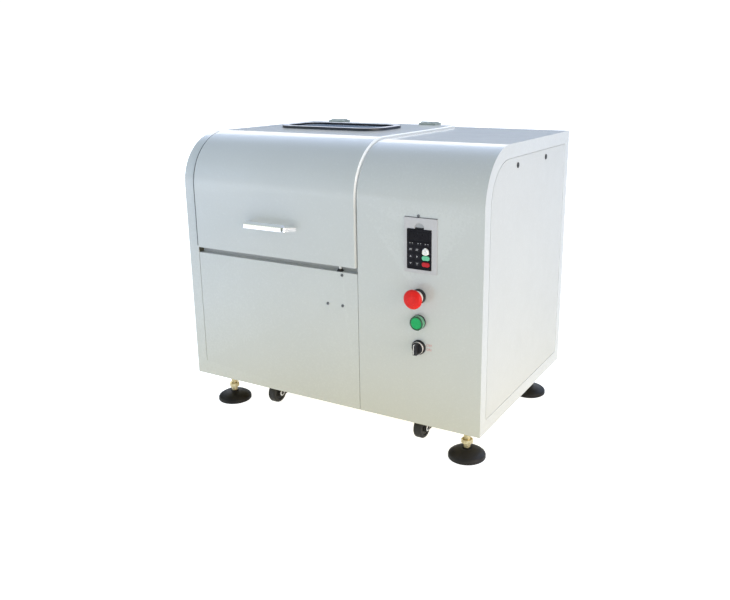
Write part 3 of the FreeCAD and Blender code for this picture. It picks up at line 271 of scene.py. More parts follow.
# ----------------------------------------------------------------- materials
class Mat:
    """A procedural material: noise in object space drives colour, roughness and bump."""

    def __init__(self, name, rough=0.5, metal=0.0, ior=1.5, spec=0.5, coat=0.0, coat_rough=0.05):
        self.m = bpy.data.materials.new(name)
        self.m.use_nodes = True
        self.t = self.m.node_tree
        self.b = self.t.nodes["Principled BSDF"]
        self.b.inputs["Roughness"].default_value = rough
        self.b.inputs["Metallic"].default_value = metal
        self.b.inputs["IOR"].default_value = ior
        self.b.inputs["Specular IOR Level"].default_value = spec
        self.b.inputs["Coat Weight"].default_value = coat
        self.b.inputs["Coat Roughness"].default_value = coat_rough
        self.tc = self.t.nodes.new("ShaderNodeTexCoord")
        self.last = None

    def new(self, kind, **kw):
        n = self.t.nodes.new(kind)
        for k, v in kw.items():
            setattr(n, k, v)
        return n

    def link(self, a, b):
        self.t.links.new(a, b)

    def coords(self, stretch=None):
        if stretch is None:
            return self.tc.outputs["Object"]
        mp = self.new("ShaderNodeMapping")
        mp.inputs["Scale"].default_value = stretch
        self.link(self.tc.outputs["Object"], mp.inputs["Vector"])
        return mp.outputs[0]

    def noise(self, scale, detail=3, rough=0.55, stretch=None):
        n = self.new("ShaderNodeTexNoise")
        n.inputs["Scale"].default_value = scale
        n.inputs["Detail"].default_value = detail
        n.inputs["Roughness"].default_value = rough
        self.link(self.coords(stretch), n.inputs["Vector"])
        return n.outputs["Fac"]

    def ramp(self, fac, stops, interp="LINEAR"):
        r = self.new("ShaderNodeValToRGB")
        r.color_ramp.interpolation = interp
        e = r.color_ramp.elements
        e[0].position, e[0].color = stops[0][0], (*stops[0][1], 1)
        e[1].position, e[1].color = stops[-1][0], (*stops[-1][1], 1)
        for p, c in stops[1:-1]:
            x = e.new(p)
            x.color = (*c, 1)
        self.link(fac, r.inputs[0])
        return r.outputs[0]

    def colour(self, a, b, scale=9, detail=4, stretch=None, lo=0.35, hi=0.65):
        out = self.ramp(self.noise(scale, detail, stretch=stretch), [(lo, a), (hi, b)])
        self.col = out
        self.link(out, self.b.inputs["Base Color"])
        return self

    def tint(self, fac_socket, colour, amount, lo=0.0, hi=1.0):
        """Mixes a colour over the base where fac is high."""
        mr = self.new("ShaderNodeMapRange")
        mr.inputs["From Min"].default_value = lo
        mr.inputs["From Max"].default_value = hi
        mr.inputs["To Max"].default_value = amount
        self.link(fac_socket, mr.inputs["Value"])
        mx = self.new("ShaderNodeMix", data_type="RGBA")
        self.link(mr.outputs[0], mx.inputs["Factor"])
        self.link(self.col, mx.inputs["A"])
        mx.inputs["B"].default_value = (*colour, 1)
        self.col = mx.outputs["Result"]
        self.link(self.col, self.b.inputs["Base Color"])
        return self

    def rough(self, lo, hi, scale=40, detail=3, stretch=None):
        mr = self.new("ShaderNodeMapRange")
        mr.inputs["From Min"].default_value = 0.3
        mr.inputs["From Max"].default_value = 0.7
        mr.inputs["To Min"].default_value = lo
        mr.inputs["To Max"].default_value = hi
        self.link(self.noise(scale, detail, stretch=stretch), mr.inputs["Value"])
        self.link(mr.outputs[0], self.b.inputs["Roughness"])
        return self

    def bump(self, height, strength=0.2, dist=0.0005):
        n = self.new("ShaderNodeBump")
        n.inputs["Strength"].default_value = strength
        n.inputs["Distance"].default_value = dist
        self.link(height, n.inputs["Height"])
        if self.last is not None:
            self.link(self.last.outputs[0], n.inputs["Normal"])
        self.last = n
        self.link(n.outputs[0], self.b.inputs["Normal"])
        return self

    def wear(self, colour, amount=0.3, lo=0.52, hi=0.60):
        """Lighter or darker worn line along convex edges, broken up by noise."""
        g = self.new("ShaderNodeNewGeometry")
        n = self.noise(220, 3)
        mul = self.new("ShaderNodeMath", operation="MULTIPLY")
        self.link(g.outputs["Pointiness"], mul.inputs[0])
        ad = self.new("ShaderNodeMath", operation="ADD")
        self.link(n, ad.inputs[0])
        ad.inputs[1].default_value = 0.5
        self.link(ad.outputs[0], mul.inputs[1])
        return self.tint(mul.outputs[0], colour, amount, lo, hi)


def powder(name, a, b, coat=0.7):
    """Powder coat: soft orange peel, faint cloudiness and speckle, a thin gloss on top."""
    m = Mat(name, rough=0.4, spec=0.25, coat=coat, coat_rough=0.09)
    m.colour(a, b, scale=3.2, detail=3)
    m.tint(m.noise(900, 2), tuple(c * 0.9 for c in a), 0.35, 0.50, 0.75)
    m.wear(tuple(c * 1.12 for c in b), 0.35, 0.54, 0.66)
    m.rough(0.31, 0.41, scale=26)
    m.bump(m.noise(430, 2, 0.5), 0.14, 0.00022)
    m.bump(m.noise(1500, 2, 0.6), 0.08, 0.00010)
    return m.m


M = {}
M["housing"] = powder("powder_coat_light_grey", (0.500, 0.520, 0.522), (0.520, 0.540, 0.542))


def flank():
    """Powder coat of the lid's right-hand fold, paler towards the top: a painted highlight of the light that catches
    the fold.
    """
    m = Mat("powder_coat_fold_painted_highlight", rough=0.34, spec=0.3, coat=0.7, coat_rough=0.08)
    m.colour((0.560, 0.580, 0.585), (0.580, 0.600, 0.605), scale=5, detail=3)
    sp = m.new("ShaderNodeSeparateXYZ")
    m.link(m.coords(), sp.inputs[0])
    # painted highlight: the fold turns near white towards the top
    m.tint(sp.outputs["Z"], (0.93, 0.96, 0.99), 1.0, Z0 + 0.44, Z0 + 0.53)
    m.rough(0.30, 0.40, scale=26)
    m.bump(m.noise(430, 2, 0.5), 0.10, 0.0002)
    return m.m


M["flank"] = flank()
M["cover"] = powder("powder_coat_cover", (0.500, 0.520, 0.522), (0.520, 0.540, 0.542), 0.15)
M["bezel"] = powder("powder_coat_bezel", (0.470, 0.462, 0.482), (0.490, 0.482, 0.504))
# painted shade: a darker copy of the housing paint for the shelf in the groove under the lid
M["recess"] = powder("powder_coat_recess_painted_shade", (0.400, 0.402, 0.388), (0.416, 0.418, 0.404), 0.3)
M["inner"] = powder("powder_coat_inner", (0.33, 0.34, 0.345), (0.37, 0.38, 0.385))


def brushed(name, a, b, rough_lo, rough_hi, stretch, scale=120, aniso=0.0, bump=0.08):
    m = Mat(name, metal=1.0)
    m.colour(a, b, scale=scale, detail=4, stretch=stretch)
    m.rough(rough_lo, rough_hi, scale=scale * 0.7, stretch=stretch)
    if aniso:
        m.b.inputs["Anisotropic"].default_value = aniso
    m.bump(m.noise(scale * 2.2, 3, 0.6, stretch=stretch), bump, 0.0001)
    return m.m


M["chrome"] = brushed("chrome_plate", (0.78, 0.79, 0.80), (0.86, 0.865, 0.87), 0.07, 0.15, (1, 1, 1), 60, 0.0, 0.02)


def pull():
    """Bright plate on the handle; its tones are what it mirrors of the room, the cards and the lid."""
    m = Mat("handle_plate", metal=1.0)
    m.colour((0.86, 0.87, 0.88), (0.92, 0.925, 0.93), scale=40)
    m.link(m.col, m.b.inputs["Base Color"])
    m.rough(0.08, 0.15, scale=60)
    m.bump(m.noise(130, 3, 0.6), 0.02, 0.0001)
    return m.m


M["pull"] = pull()
M["silver"] = brushed("satin_trim", (0.80, 0.80, 0.81), (0.88, 0.88, 0.88), 0.20, 0.30, (1, 1, 1), 90, 0.0, 0.04)
M["zinc"] = brushed("yellow_zinc", (0.50, 0.40, 0.19), (0.80, 0.70, 0.44), 0.24, 0.40, (1, 1, 3), 160, 0.2, 0.12)
M["plate_zinc"] = brushed("bright_zinc", (0.60, 0.60, 0.58), (0.74, 0.74, 0.72), 0.26, 0.40, (1, 1, 1), 140, 0.0, 0.10)
M["steel"] = brushed("turned_steel", (0.42, 0.43, 0.44), (0.56, 0.57, 0.58), 0.22, 0.38, (1, 1, 22), 60, 0.5, 0.10)
M["stainless"] = brushed("turned_stainless", (0.62, 0.62, 0.61), (0.74, 0.735, 0.72), 0.16, 0.30, (1, 1, 26), 60, 0.6, 0.10)
M["alloy"] = brushed("machined_alloy", (0.55, 0.56, 0.57), (0.68, 0.69, 0.70), 0.26, 0.42, (1, 1, 1), 90, 0.2, 0.10)
M["screw_black"] = brushed("black_oxide", (0.045, 0.046, 0.05), (0.085, 0.086, 0.09), 0.30, 0.45, (1, 1, 1), 200, 0.0, 0.10)
M["screw_grey"] = brushed("grey_screw", (0.15, 0.155, 0.16), (0.24, 0.245, 0.25), 0.30, 0.42, (1, 1, 1), 200, 0.0, 0.10)


def cast(name, a, b, metal=0.0, rough=(0.45, 0.6), grain=420, strength=0.25):
    m = Mat(name, metal=metal)
    m.colour(a, b, scale=40, detail=5)
    m.rough(*rough, scale=90)
    m.bump(m.noise(grain, 4, 0.6), strength, 0.00025)
    m.wear(tuple(min(1, c * 1.5 + 0.03) for c in b), 0.25)
    return m.m


M["die_cast"] = cast("die_cast_grey", (0.25, 0.295, 0.29), (0.35, 0.40, 0.39), 0.10, (0.32, 0.45))
M["iron"] = cast("dark_iron", (0.055, 0.058, 0.062), (0.09, 0.094, 0.10), 0.6, (0.4, 0.55), 300, 0.4)
M["fork"] = cast("fork_black", (0.020, 0.020, 0.022), (0.036, 0.036, 0.038), 0.2, (0.35, 0.5), 300, 0.3)
M["motor"] = cast("motor_enamel", (0.045, 0.075, 0.115), (0.06, 0.095, 0.14), 0.0, (0.3, 0.42), 260, 0.3)


def moulded(name, a, b, rough=(0.42, 0.55), grain=900, strength=0.15, coat=0.0, spec=0.5):
    m = Mat(name, coat=coat, spec=spec)
    m.colour(a, b, scale=60, detail=4)
    m.rough(*rough, scale=140)
    m.bump(m.noise(grain, 3, 0.6), strength, 0.00015)
    m.wear(tuple(min(1, c * 1.3 + 0.01) for c in b), 0.3, 0.54, 0.64)
    return m.m


M["black"] = moulded("black_plastic", (0.010, 0.010, 0.012), (0.018, 0.018, 0.021), spec=0.35)
M["pad"] = moulded("pad_nylon", (0.0065, 0.0065, 0.0072), (0.0120, 0.0118, 0.0130), (0.40, 0.54), 700, 0.2, spec=0.25)
M["grey"] = moulded("grey_plastic", (0.30, 0.305, 0.32), (0.34, 0.345, 0.36), (0.36, 0.46), 1100, 0.12)
M["white"] = moulded("white_plastic", (0.74, 0.74, 0.75), (0.82, 0.82, 0.83), (0.3, 0.42))
M["collar"] = moulded("pale_collar", (0.70, 0.67, 0.66), (0.78, 0.75, 0.74), (0.25, 0.35), 900, 0.06, 0.3)
# painted shade: grey for the strip that stands in for the shaded gap at the lid's left edge
M["edge_seal"] = moulded("seam_painted_shade_grey", (0.17, 0.19, 0.20), (0.22, 0.24, 0.25), (0.45, 0.6), 700, 0.2, 0.0, 0.25)
M["red"] = moulded("red_plastic", (0.60, 0.010, 0.008), (0.70, 0.016, 0.012), (0.28, 0.38), 800, 0.08, 0.04, 0.22)
M["green"] = moulded("green_lens", (0.008, 0.330, 0.095), (0.014, 0.400, 0.125), (0.25, 0.35), 800, 0.08, 0.03, 0.2)
M["green_side"] = moulded("green_side", (0.10, 0.33, 0.20), (0.16, 0.42, 0.27), (0.2, 0.3), 800, 0.06, 0.3)
M["green_dark"] = moulded("green_rim", (0.003, 0.060, 0.022), (0.006, 0.085, 0.030), (0.22, 0.32), 800, 0.06, 0.15)
M["key_green"] = moulded("green_key", (0.10, 0.47, 0.27), (0.16, 0.56, 0.35), (0.30, 0.40))
M["key_red"] = moulded("red_key", (0.42, 0.010, 0.018), (0.52, 0.020, 0.030), (0.36, 0.46), spec=0.25)
M["membrane"] = moulded("membrane_black", (0.0065, 0.0060, 0.0085), (0.0105, 0.0100, 0.0135), (0.40, 0.52), 1400, 0.12, spec=0.10)
M["key_pad"] = moulded("membrane_key", (0.013, 0.012, 0.016), (0.018, 0.017, 0.022), (0.36, 0.46), 1400, 0.12, spec=0.12)
M["display"] = moulded("display_glass", (0.0030, 0.0028, 0.0042), (0.0042, 0.0040, 0.0060), (0.06, 0.12), 40, 0.02, 0.0, 0.14)
M["segment"] = moulded("display_segment", (0.0075, 0.0050, 0.0062), (0.0095, 0.0064, 0.0080), (0.2, 0.3), 900, 0.05, 0.0, 0.12)
M["rubber"] = moulded("seal_rubber", (0.010, 0.013, 0.026), (0.016, 0.020, 0.036), (0.34, 0.46), 600, 0.15, 0.0, 0.9)
# painted highlight: pale blue for the top faces of the window seal, where they catch light from above
M["seal_top"] = moulded("seal_top_painted_highlight", (0.48, 0.51, 0.60), (0.54, 0.57, 0.66), (0.28, 0.38), 600, 0.08, 0.0, 0.6)
M["belt"] = moulded("belt_rubber", (0.012, 0.012, 0.012), (0.022, 0.022, 0.022), (0.55, 0.7), 500, 0.4)
M["wheel"] = moulded("wheel_rubber", (0.010, 0.010, 0.011), (0.018, 0.018, 0.019), (0.4, 0.55), 500, 0.25)
M["legend"] = moulded("printed_grey", (0.30, 0.30, 0.32), (0.38, 0.38, 0.40), (0.5, 0.6))
M["legend_dark"] = moulded("printed_dark", (0.055, 0.055, 0.062), (0.080, 0.080, 0.088), (0.5, 0.6))
M["legend_red"] = moulded("printed_red", (0.50, 0.16, 0.17), (0.56, 0.20, 0.21), (0.5, 0.6))


def pane():
    m = Mat("tinted_pane", rough=0.05, spec=0.36, coat=0.1, coat_rough=0.02)
    m.colour((0.014, 0.028, 0.056), (0.020, 0.038, 0.072), scale=3)
    m.b.inputs["Transmission Weight"].default_value = 0.45
    m.bump(m.noise(6, 2), 0.02, 0.001)
    return m.m


M["pane"] = pane()


def worn_pad():
    """Nylon of the front right foot, lighter and blotched: a painted sheen."""
    m = Mat("pad_nylon_painted_sheen", spec=0.3)
    m.colour((0.0110, 0.0105, 0.0118), (0.0170, 0.0160, 0.0178), scale=60, detail=4)
    m.tint(m.noise(700, 3), (0.028, 0.026, 0.029), 0.35, 0.45, 0.7)
    m.rough(0.38, 0.50, scale=140)
    m.bump(m.noise(700, 3, 0.6), 0.2, 0.00015)
    return m.m


M["pad_worn"] = worn_pad()

# node: material, edge radius in mm
LOOK = {
    "base_tray": ("housing", 0.4), "left_side_panel": ("housing", 0.5), "right_housing": ("housing", 0.5), "side_covers": ("cover", 0.45),
    "lower_front_panel": ("housing", 0.6), "rear_panel": ("housing", 0.4), "deck_frame": ("inner", 0.8), "partition_wall": ("inner", 0.3),
    "panel_fasteners": ("black", 0.35), "hinge_bases": ("die_cast", 0.7), "caster_plates": ("plate_zinc", 0.4),
    "lid_shell": ("housing", 0.7), "lid_window": ("pane", 0.6), "window_seal": ("rubber", 1.2), "lid_handle": ("pull", 0.9),
    "lid_hinges": ("die_cast", 0.7), "main_bearing_unit": ("iron", 0.8), "sun_gear": ("steel", 0.0), "main_shaft": ("steel", 0.6),
    "driven_pulley": ("iron", 0.5), "sun_disc": ("alloy", 0.8), "drive_belt": ("belt", 0.6), "motor": ("motor", 0.7),
    "drive_pulley": ("iron", 0.5), "inverter": ("black", 0.8), "keypad_bezel": ("bezel", 0.45), "keypad_panel": ("membrane", 0.4),
    "run_key": ("key_green", 1.3), "stop_key": ("key_red", 1.3), "speed_dial": ("white", 0.5), "button_bodies": ("black", 0.4),
    "estop_head": ("red", 0.7), "pilot_lens": ("green_dark", 0.6), "selector_knob": ("black", 0.7),
    "interlock_plunger": ("white", 0.5), "mains_inlet": ("black", 0.4),
}
for k in range(1, 5):
    LOOK["jar_holder_%d" % k] = ("alloy", 0.8)
    LOOK["milling_jar_%d" % k] = ("stainless", 0.8)
    LOOK["clamp_screw_%d" % k] = ("steel", 0.6)
for s in ("fl", "fr", "rl", "rr"):
    LOOK["foot_" + s] = ("pad", 0.6)
    LOOK["caster_fork_" + s] = ("fork", 0.4)
    LOOK["caster_wheel_" + s] = ("wheel", 0.8)


# Second materials on some nodes, by where a face is.
# The front right foot's pad takes a lighter, blotched copy of the nylon: a painted sheen.
def foot_part(c, n):
    return "zinc" if c[2] + Z0 * 1000 > 22.4 else "pad_worn" if c[0] > 600 and c[1] < 200 else "pad"


def button_part(c, n):
    if c[1] < -4.05:
        if abs(c[2] - 279) < 16.2 and c[1] < -4.7:
            return "collar"
    return "black"


def knob_part(c, n):
    return "collar" if -9.3 < c[1] < -5.0 and abs(n.y) < 0.5 and math.hypot(c[0] - 612, c[2] - 171) > 12.0 else "black"


def lens_part(c, n):
    r = math.hypot(c[0] - 612, c[2] - 225)
    if n.y < -0.9 and r < 11.5 and -13.6 < c[1] < -12.9:
        return "green"
    if r > 13.0 and abs(n.y) < 0.4 and c[1] > -12.9:
        return "green_side"
    return "green_dark"


# The lid's right-hand fold takes the paint with the painted highlight; the rest is housing paint.
def lid_part(c, n):
    return "flank" if c[0] > 461.0 and n.x > 0.3 else "housing"


# The seal's top faces take the pale painted highlight; the rest is rubber.
def seal_part(c, n):
    return "seal_top" if n.z > 0.9 and c[2] > 585.5 else "rubber"


# painted shade: the shelf behind the lower panel's top flange takes the darker copy of the housing paint
def panel_part(c, n):
    return "recess" if c[1] > 14.0 and c[2] > 305.7 else "housing"


PARTS = {"button_bodies": button_part, "selector_knob": knob_part, "lower_front_panel": panel_part, "pilot_lens": lens_part, "lid_shell": lid_part, "window_seal": seal_part}
for s in ("fl", "fr", "rl", "rr"):
    PARTS["foot_" + s] = foot_part


def shade(o, bev, angle=28, segs=3, flatten=False):
    if flatten:
        w = o.modifiers.new("weld", "WELD")
        w.merge_threshold = 1e-6
        d = o.modifiers.new("planes", "DECIMATE")
        d.decimate_type = "DISSOLVE"
        d.angle_limit = rad(0.25)
        d.delimit = {"MATERIAL"}
    if bev > 0:
        b = o.modifiers.new("edge", "BEVEL")
        b.width = bev / 1000
        b.segments = segs
        b.limit_method = "ANGLE"
        b.angle_limit = rad(angle)
        b.use_clamp_overlap = True
        b.miter_outer = "MITER_ARC"
    n = o.modifiers.new("shade", "WEIGHTED_NORMAL")
    n.keep_sharp = True
    n.weight = 80


for name, (key, bev) in LOOK.items():
    o = N[name]
    part = PARTS.get(name)
    o.data.materials.clear()
    keys = [key]
    o.data.materials.append(M[key])
    for p in o.data.polygons:
        p.use_smooth = True
        p.material_index = 0
        if part:
            want = part(mm(p.center), p.normal)
            if want not in keys:
                keys.append(want)
                o.data.materials.append(M[want])
            p.material_index = keys.index(want)
    shade(o, bev, flatten=True)


# ------------------------------------------------------------- mesh building
def piece(name, bm, key, body, bev=0.0, segs=2, angle=35):
    bmesh.ops.recalc_face_normals(bm, faces=bm.faces[:])
    me = bpy.data.meshes.new(name)
    bm.to_mesh(me)
    bm.free()
    keys = [key] if isinstance(key, str) else list(key)
    for k in keys:
        me.materials.append(M[k])
    for p in me.polygons:
        p.use_smooth = True
    o = bpy.data.objects.new(name, me)
    sc.collection.objects.link(o)
    shade(o, bev, angle, segs)
    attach(o, body)
    return o


def lathe(bm, prof, at, ax, n=40, mi=0):
    """Turns (radius, height) points in mm about an axis."""
    ax = Vector(ax).normalized()
    e1 = ax.orthogonal().normalized()
    e2 = ax.cross(e1)
    rows = []
    for r, h in prof:
        c = at + ax * (h / 1000)
        if r < 1e-6:
            rows.append([bm.verts.new(c)])
        else:
            rows.append([bm.verts.new(c + (e1 * math.cos(2 * math.pi * k / n) + e2 * math.sin(2 * math.pi * k / n)) * (r / 1000))
                         for k in range(n)])
    for i, (a, b) in enumerate(zip(rows, rows[1:])):
        for k in range(n):
            j = (k + 1) % n
            if len(a) == 1:
                f = bm.faces.new((a[0], b[k], b[j]))
            elif len(b) == 1:
                f = bm.faces.new((a[k], b[0], a[j]))
            else:
                f = bm.faces.new((a[k], b[k], b[j], a[j]))
            f.material_index = mi[i] if isinstance(mi, (list, tuple)) else mi


def prism(bm, face, pts, w0, w1, mi=0):
    lo = [bm.verts.new(face(u, v, w0)) for u, v in pts]
    hi = [bm.verts.new(face(u, v, w1)) for u, v in pts]
    fs = [bm.faces.new(lo), bm.faces.new(list(reversed(hi)))]
    for k in range(len(pts)):
        j = (k + 1) % len(pts)
        fs.append(bm.faces.new((lo[j], lo[k], hi[k], hi[j])))
    for f in fs:
        f.material_index = mi


def rrect(x0, x1, z0, z1, r, n=5):
    out = []
    for cx, cz, a0 in ((x1 - r, z1 - r, 0), (x0 + r, z1 - r, 90), (x0 + r, z0 + r, 180), (x1 - r, z0 + r, 270)):
        for i in range(n + 1):
            a = rad(a0 + 90 * i / n)
            out.append((cx + r * math.cos(a), cz + r * math.sin(a)))
    return out


def turned_pts(pts, cx, cz, deg=0.0, scale=1.0):
    c, s = math.cos(rad(deg)) * scale, math.sin(rad(deg)) * scale
    return [(cx + x * c - z * s, cz + x * s + z * c) for x, z in pts]


def cross(a, b):
    return [(b, a), (a, a), (a, b), (-a, b), (-a, a), (-b, a), (-b, -a), (-a, -a), (-a, -b), (a, -b), (a, -a), (b, -a)]


def hexagon(r):
    return [(r * math.cos(rad(60 * k)), r * math.sin(rad(60 * k))) for k in range(6)]


def slot_shape(a, b):
    return [(b, a), (-b, a), (-b, -a), (b, -a)]


def head(bm, face, u, v, prof, hole, depth, n=28, w=0.0, mi=0):
    """A screw head: turned outside with a driver recess sunk in its flat top."""
    rows = [[bm.verts.new(face(u + r * math.cos(2 * math.pi * k / n), v + r * math.sin(2 * math.pi * k / n), w + h)) for k in range(n)]
            for r, h in prof]
    foot = bm.verts.new(face(u, v, w + prof[0][1]))
    made = []
    for k in range(n):
        j = (k + 1) % n
        made.append(bm.faces.new((foot, rows[0][j], rows[0][k])))
        for a, b in zip(rows, rows[1:]):
            made.append(bm.faces.new((a[k], a[j], b[j], b[k])))
    t = rows[-1]
    wt = w + prof[-1][1]
    hv = [bm.verts.new(face(u + a, v + b, wt)) for a, b in hole]
    hb = [bm.verts.new(face(u + a * 0.82, v + b * 0.82, wt - depth)) for a, b in hole]
    es = [bm.edges.get((t[k], t[(k + 1) % n])) for k in range(n)]
    es += [bm.edges.new((hv[k], hv[(k + 1) % len(hv)])) for k in range(len(hv))]
    out = bmesh.ops.triangle_fill(bm, edges=es, use_beauty=True)
    made += [g for g in out["geom"] if isinstance(g, bmesh.types.BMFace)]
    for k in range(len(hv)):
        j = (k + 1) % len(hv)
        made.append(bm.faces.new((hv[k], hv[j], hb[j], hb[k])))
    made.append(bm.faces.new(hb))
    for f in made:
        f.material_index = mi


def thread(bm, x, y, z0, z1, r, depth, pitch, n=30, per=6):
    """A helical thread over a stud; heights are above the floor."""
    rows = []
    steps = int((z1 - z0) / pitch * per)
    for i in range(steps + 1):
        z = z0 + (z1 - z0) * i / steps
        row = []
        for k in range(n):
            ph = (z / pitch - k / n) % 1.0
            rr = r + depth * (1 - abs(2 * ph - 1))
            a = 2 * math.pi * k / n
            p = pt(x + rr * math.cos(a), y + rr * math.sin(a), 0)
            row.append(bm.verts.new((p.x, p.y, z / 1000)))
        rows.append(row)
    for a, b in zip(rows, rows[1:]):
        for k in range(n):
            j = (k + 1) % n
            bm.faces.new((a[k], a[j], b[j], b[k]))
    bm.faces.new(list(reversed(rows[0])))
    bm.faces.new(rows[-1])


def words(name, s, face, u, v, size, thick, key, body, w=0.0, align="LEFT"):
    c = bpy.data.curves.new(name, "FONT")
    c.body = s
    c.size = size / 1000
    c.extrude = thick / 2000
    c.align_x = align
    c.resolution_u = 3
    src = bpy.data.objects.new(name + "_src", c)
    me = bpy.data.meshes.new_from_object(src)
    bpy.data.objects.remove(src)
    for p in me.vertices:
        p.co = face(u + p.co.x * 1000, v + p.co.y * 1000, w + thick / 2 + p.co.z * 1000)
    bm = bmesh.new()
    bm.from_mesh(me)
    bmesh.ops.remove_doubles(bm, verts=bm.verts[:], dist=1e-6)
    return piece(name, bm, key, body)


# ------------------------------------------------------------- front details
bm = bmesh.new()
PAN = [(3.35, -0.4), (3.35, 0.9), (3.15, 1.5), (2.7, 1.95), (2.2, 2.1)]
for sx, sz, turn in ((428.5, 299.0, 12), (390.7, 231.8, 40), (428.6, 231.6, 71)):
    head(bm, front, sx, sz, PAN, turned_pts(cross(0.42, 1.75), 0, 0, turn), 1.1)
head(bm, front, 610.0, 441.5, [(r * 0.86, h) for r, h in PAN], turned_pts(cross(0.38, 1.5), 0, 0, 25), 1.0)
piece("front_screw_heads", bm, "screw_grey", "root", 0.12)

# dark strip along the lid's left edge: painted shade standing in for the shaded gap between lid and cheek
LX, LP = 29.3, 4.4
path = [(-LP, z) for z in range(322, 461, 6)]
path += [(115 - (115 + LP) * math.cos(rad(a)), 461 + (115 + LP) * math.sin(rad(a))) for a in range(0, 91, 4)] + [(115, 576 + LP)]
path += [(115 + 14 * i, 576 + LP) for i in range(1, 26)]
bm = bmesh.new()
rows = []
for i, (y, z) in enumerate(path):
    ya, za = path[max(i - 1, 0)]
    yb, zb = path[min(i + 1, len(path) - 1)]
    ty, tz = yb - ya, zb - za
    ln = math.hypot(ty, tz)
    ny, nz = -tz / ln, ty / ln
    rows.append([bm.verts.new(pt(x, y + ny * h, z + nz * h)) for x, h in ((LX, -4.0), (LX, -0.5), (LX + 0.35, 0.0), (LX + 1.5, 0.0), (LX + 1.75, -4.0))])
for a, b in zip(rows, rows[1:]):
    for k in range(5):
        j = (k + 1) % 5
        bm.faces.new((a[k], a[j], b[j], b[k]))
bm.faces.new(rows[0])
bm.faces.new(list(reversed(rows[-1])))
piece("lid_seam_painted_shade", bm, "edge_seal", "lid")

# keypad: display, lamps, soft keys and their marks
bm = bmesh.new()
prism(bm, front, rrect(591.4, 634.6, 391.4, 410.6, 1.2), 2.3, 2.95)
piece("display_window", bm, "display", "root", 0.25)
SEG = {"a": ((-2.1, 5.0), (2.1, 5.0)), "g": ((-2.1, 0.0), (2.1, 0.0)), "d": ((-2.1, -5.0), (2.1, -5.0)),
       "f": ((-2.5, 4.6), (-2.5, 0.4)), "b": ((2.5, 4.6), (2.5, 0.4)), "e": ((-2.5, -0.4), (-2.5, -4.6)), "c": ((2.5, -0.4), (2.5, -4.6))}
bm = bmesh.new()
for i in range(5):
    cx = 613.0 + 8.2 * (i - 2)
    for (ax, az), (bx, bz) in SEG.values():
        dx, dz = bx - ax, bz - az
        ln = math.hypot(dx, dz)
        ux, uz = dx / ln, dz / ln
        h = 0.5
        pts = [(ax, az), (ax + ux * h - uz * h, az + uz * h + ux * h), (bx - ux * h - uz * h, bz - uz * h + ux * h), (bx, bz),
               (bx - ux * h + uz * h, bz - uz * h - ux * h), (ax + ux * h + uz * h, az + uz * h - ux * h)]
        prism(bm, front, [(cx + px + pz * 0.09, 401.0 + pz) for px, pz in pts], 2.95, 3.0)
    prism(bm, front, turned_pts(hexagon(0.55), cx + 3.5, 395.6), 2.95, 3.0)
piece("display_segments", bm, "segment", "root")
bm = bmesh.new()
for i, x in enumerate((593.0, 598.6, 611.0, 616.6, 627.2, 632.8)):
    prism(bm, front, rrect(x - 1.3, x + 1.3, 386.9, 388.1, 0.55, 3), 3.4, 3.78)
piece("keypad_lamps", bm, "legend", "root", 0.1)
bm = bmesh.new()
for x in (593.0, 598.6, 611.0, 616.6, 627.2, 632.8):
    prism(bm, front, rrect(x - 1.7, x + 1.7, 384.6, 385.3, 0.2, 2), 3.46, 3.56)
piece("keypad_lamp_marks", bm, "legend_dark", "root")
KX, KZ = (594.6, 609.0), (374.6, 360.6, 346.6)
bm = bmesh.new()
for x in KX:
    for z in KZ:
        prism(bm, front, rrect(x - 5.6, x + 5.6, z - 4.6, z + 4.6, 2.4), 3.2, 3.95)
piece("soft_keys", bm, "key_pad", "root", 0.35, 3)
tri = [(-2.2, -1.3), (2.2, -1.3), (0, 2.0)]
bar = [(-2.6, -0.45), (2.6, -0.45), (2.6, 0.45), (-2.6, 0.45)]
bm = bmesh.new()
for x, z, marks in ((KX[0], KZ[0], [(bar, 0, 1.1, 0), (bar, 0, -1.1, 0)]), (KX[1], KZ[0], [(bar, 0, 1.2, 0), (bar, -0.9, -1.0, 0)]),
                    (KX[0], KZ[1], [(tri, 0, 0, 0)]), (KX[1], KZ[1], [(tri, 0, 0, -90)]),
                    (KX[0], KZ[2], [(tri, 0, 0, 180)]), (KX[1], KZ[2], [(bar, 0, 0.9, 0), (bar, 0, -1.0, 90)])):
    for shape, dx, dz, deg in marks:
        prism(bm, front, turned_pts(shape, x + dx, z + dz, deg), 3.9, 4.03)
piece("soft_key_marks", bm, "legend", "root")

# three-lobed skirt and pointer on the speed dial
bm = bmesh.new()
pts = []
for k in range(72):
    a = rad(5 * k)
    lobe = max(0.0, math.cos(3 * (a - rad(92)))) ** 1.6
    pts.append((628 + (6.9 + 1.2 * lobe) * math.cos(a), 372 + (6.9 + 1.2 * lobe) * math.sin(a)))
prism(bm, front, pts, 3.6, 5.9)
piece("dial_skirt", bm, "white", "dial", 0.5, 3)
bm = bmesh.new()
prism(bm, front, rrect(627.5, 628.5, 373.2, 377.6, 0.4, 3), 6.2, 6.95)
piece("dial_pointer", bm, "grey", "dial", 0.1)

# latch showing in the arched notch above the keypad, a black strip under the latch as painted shade of the gap there,
# and a dark strip along the top of the surround as painted shade where its top edge meets the panel
bm = bmesh.new()
arch = [(603.4, 418.4), (622.6, 418.4)] + [(613 + 9.6 * math.cos(rad(a)), 420.4 + 9.6 * math.sin(rad(a))) for a in range(0, 181, 15)]
prism(bm, front, arch, 0.0, 0.75)
piece("keypad_latch", bm, "grey", "root", 0.25)
bm = bmesh.new()
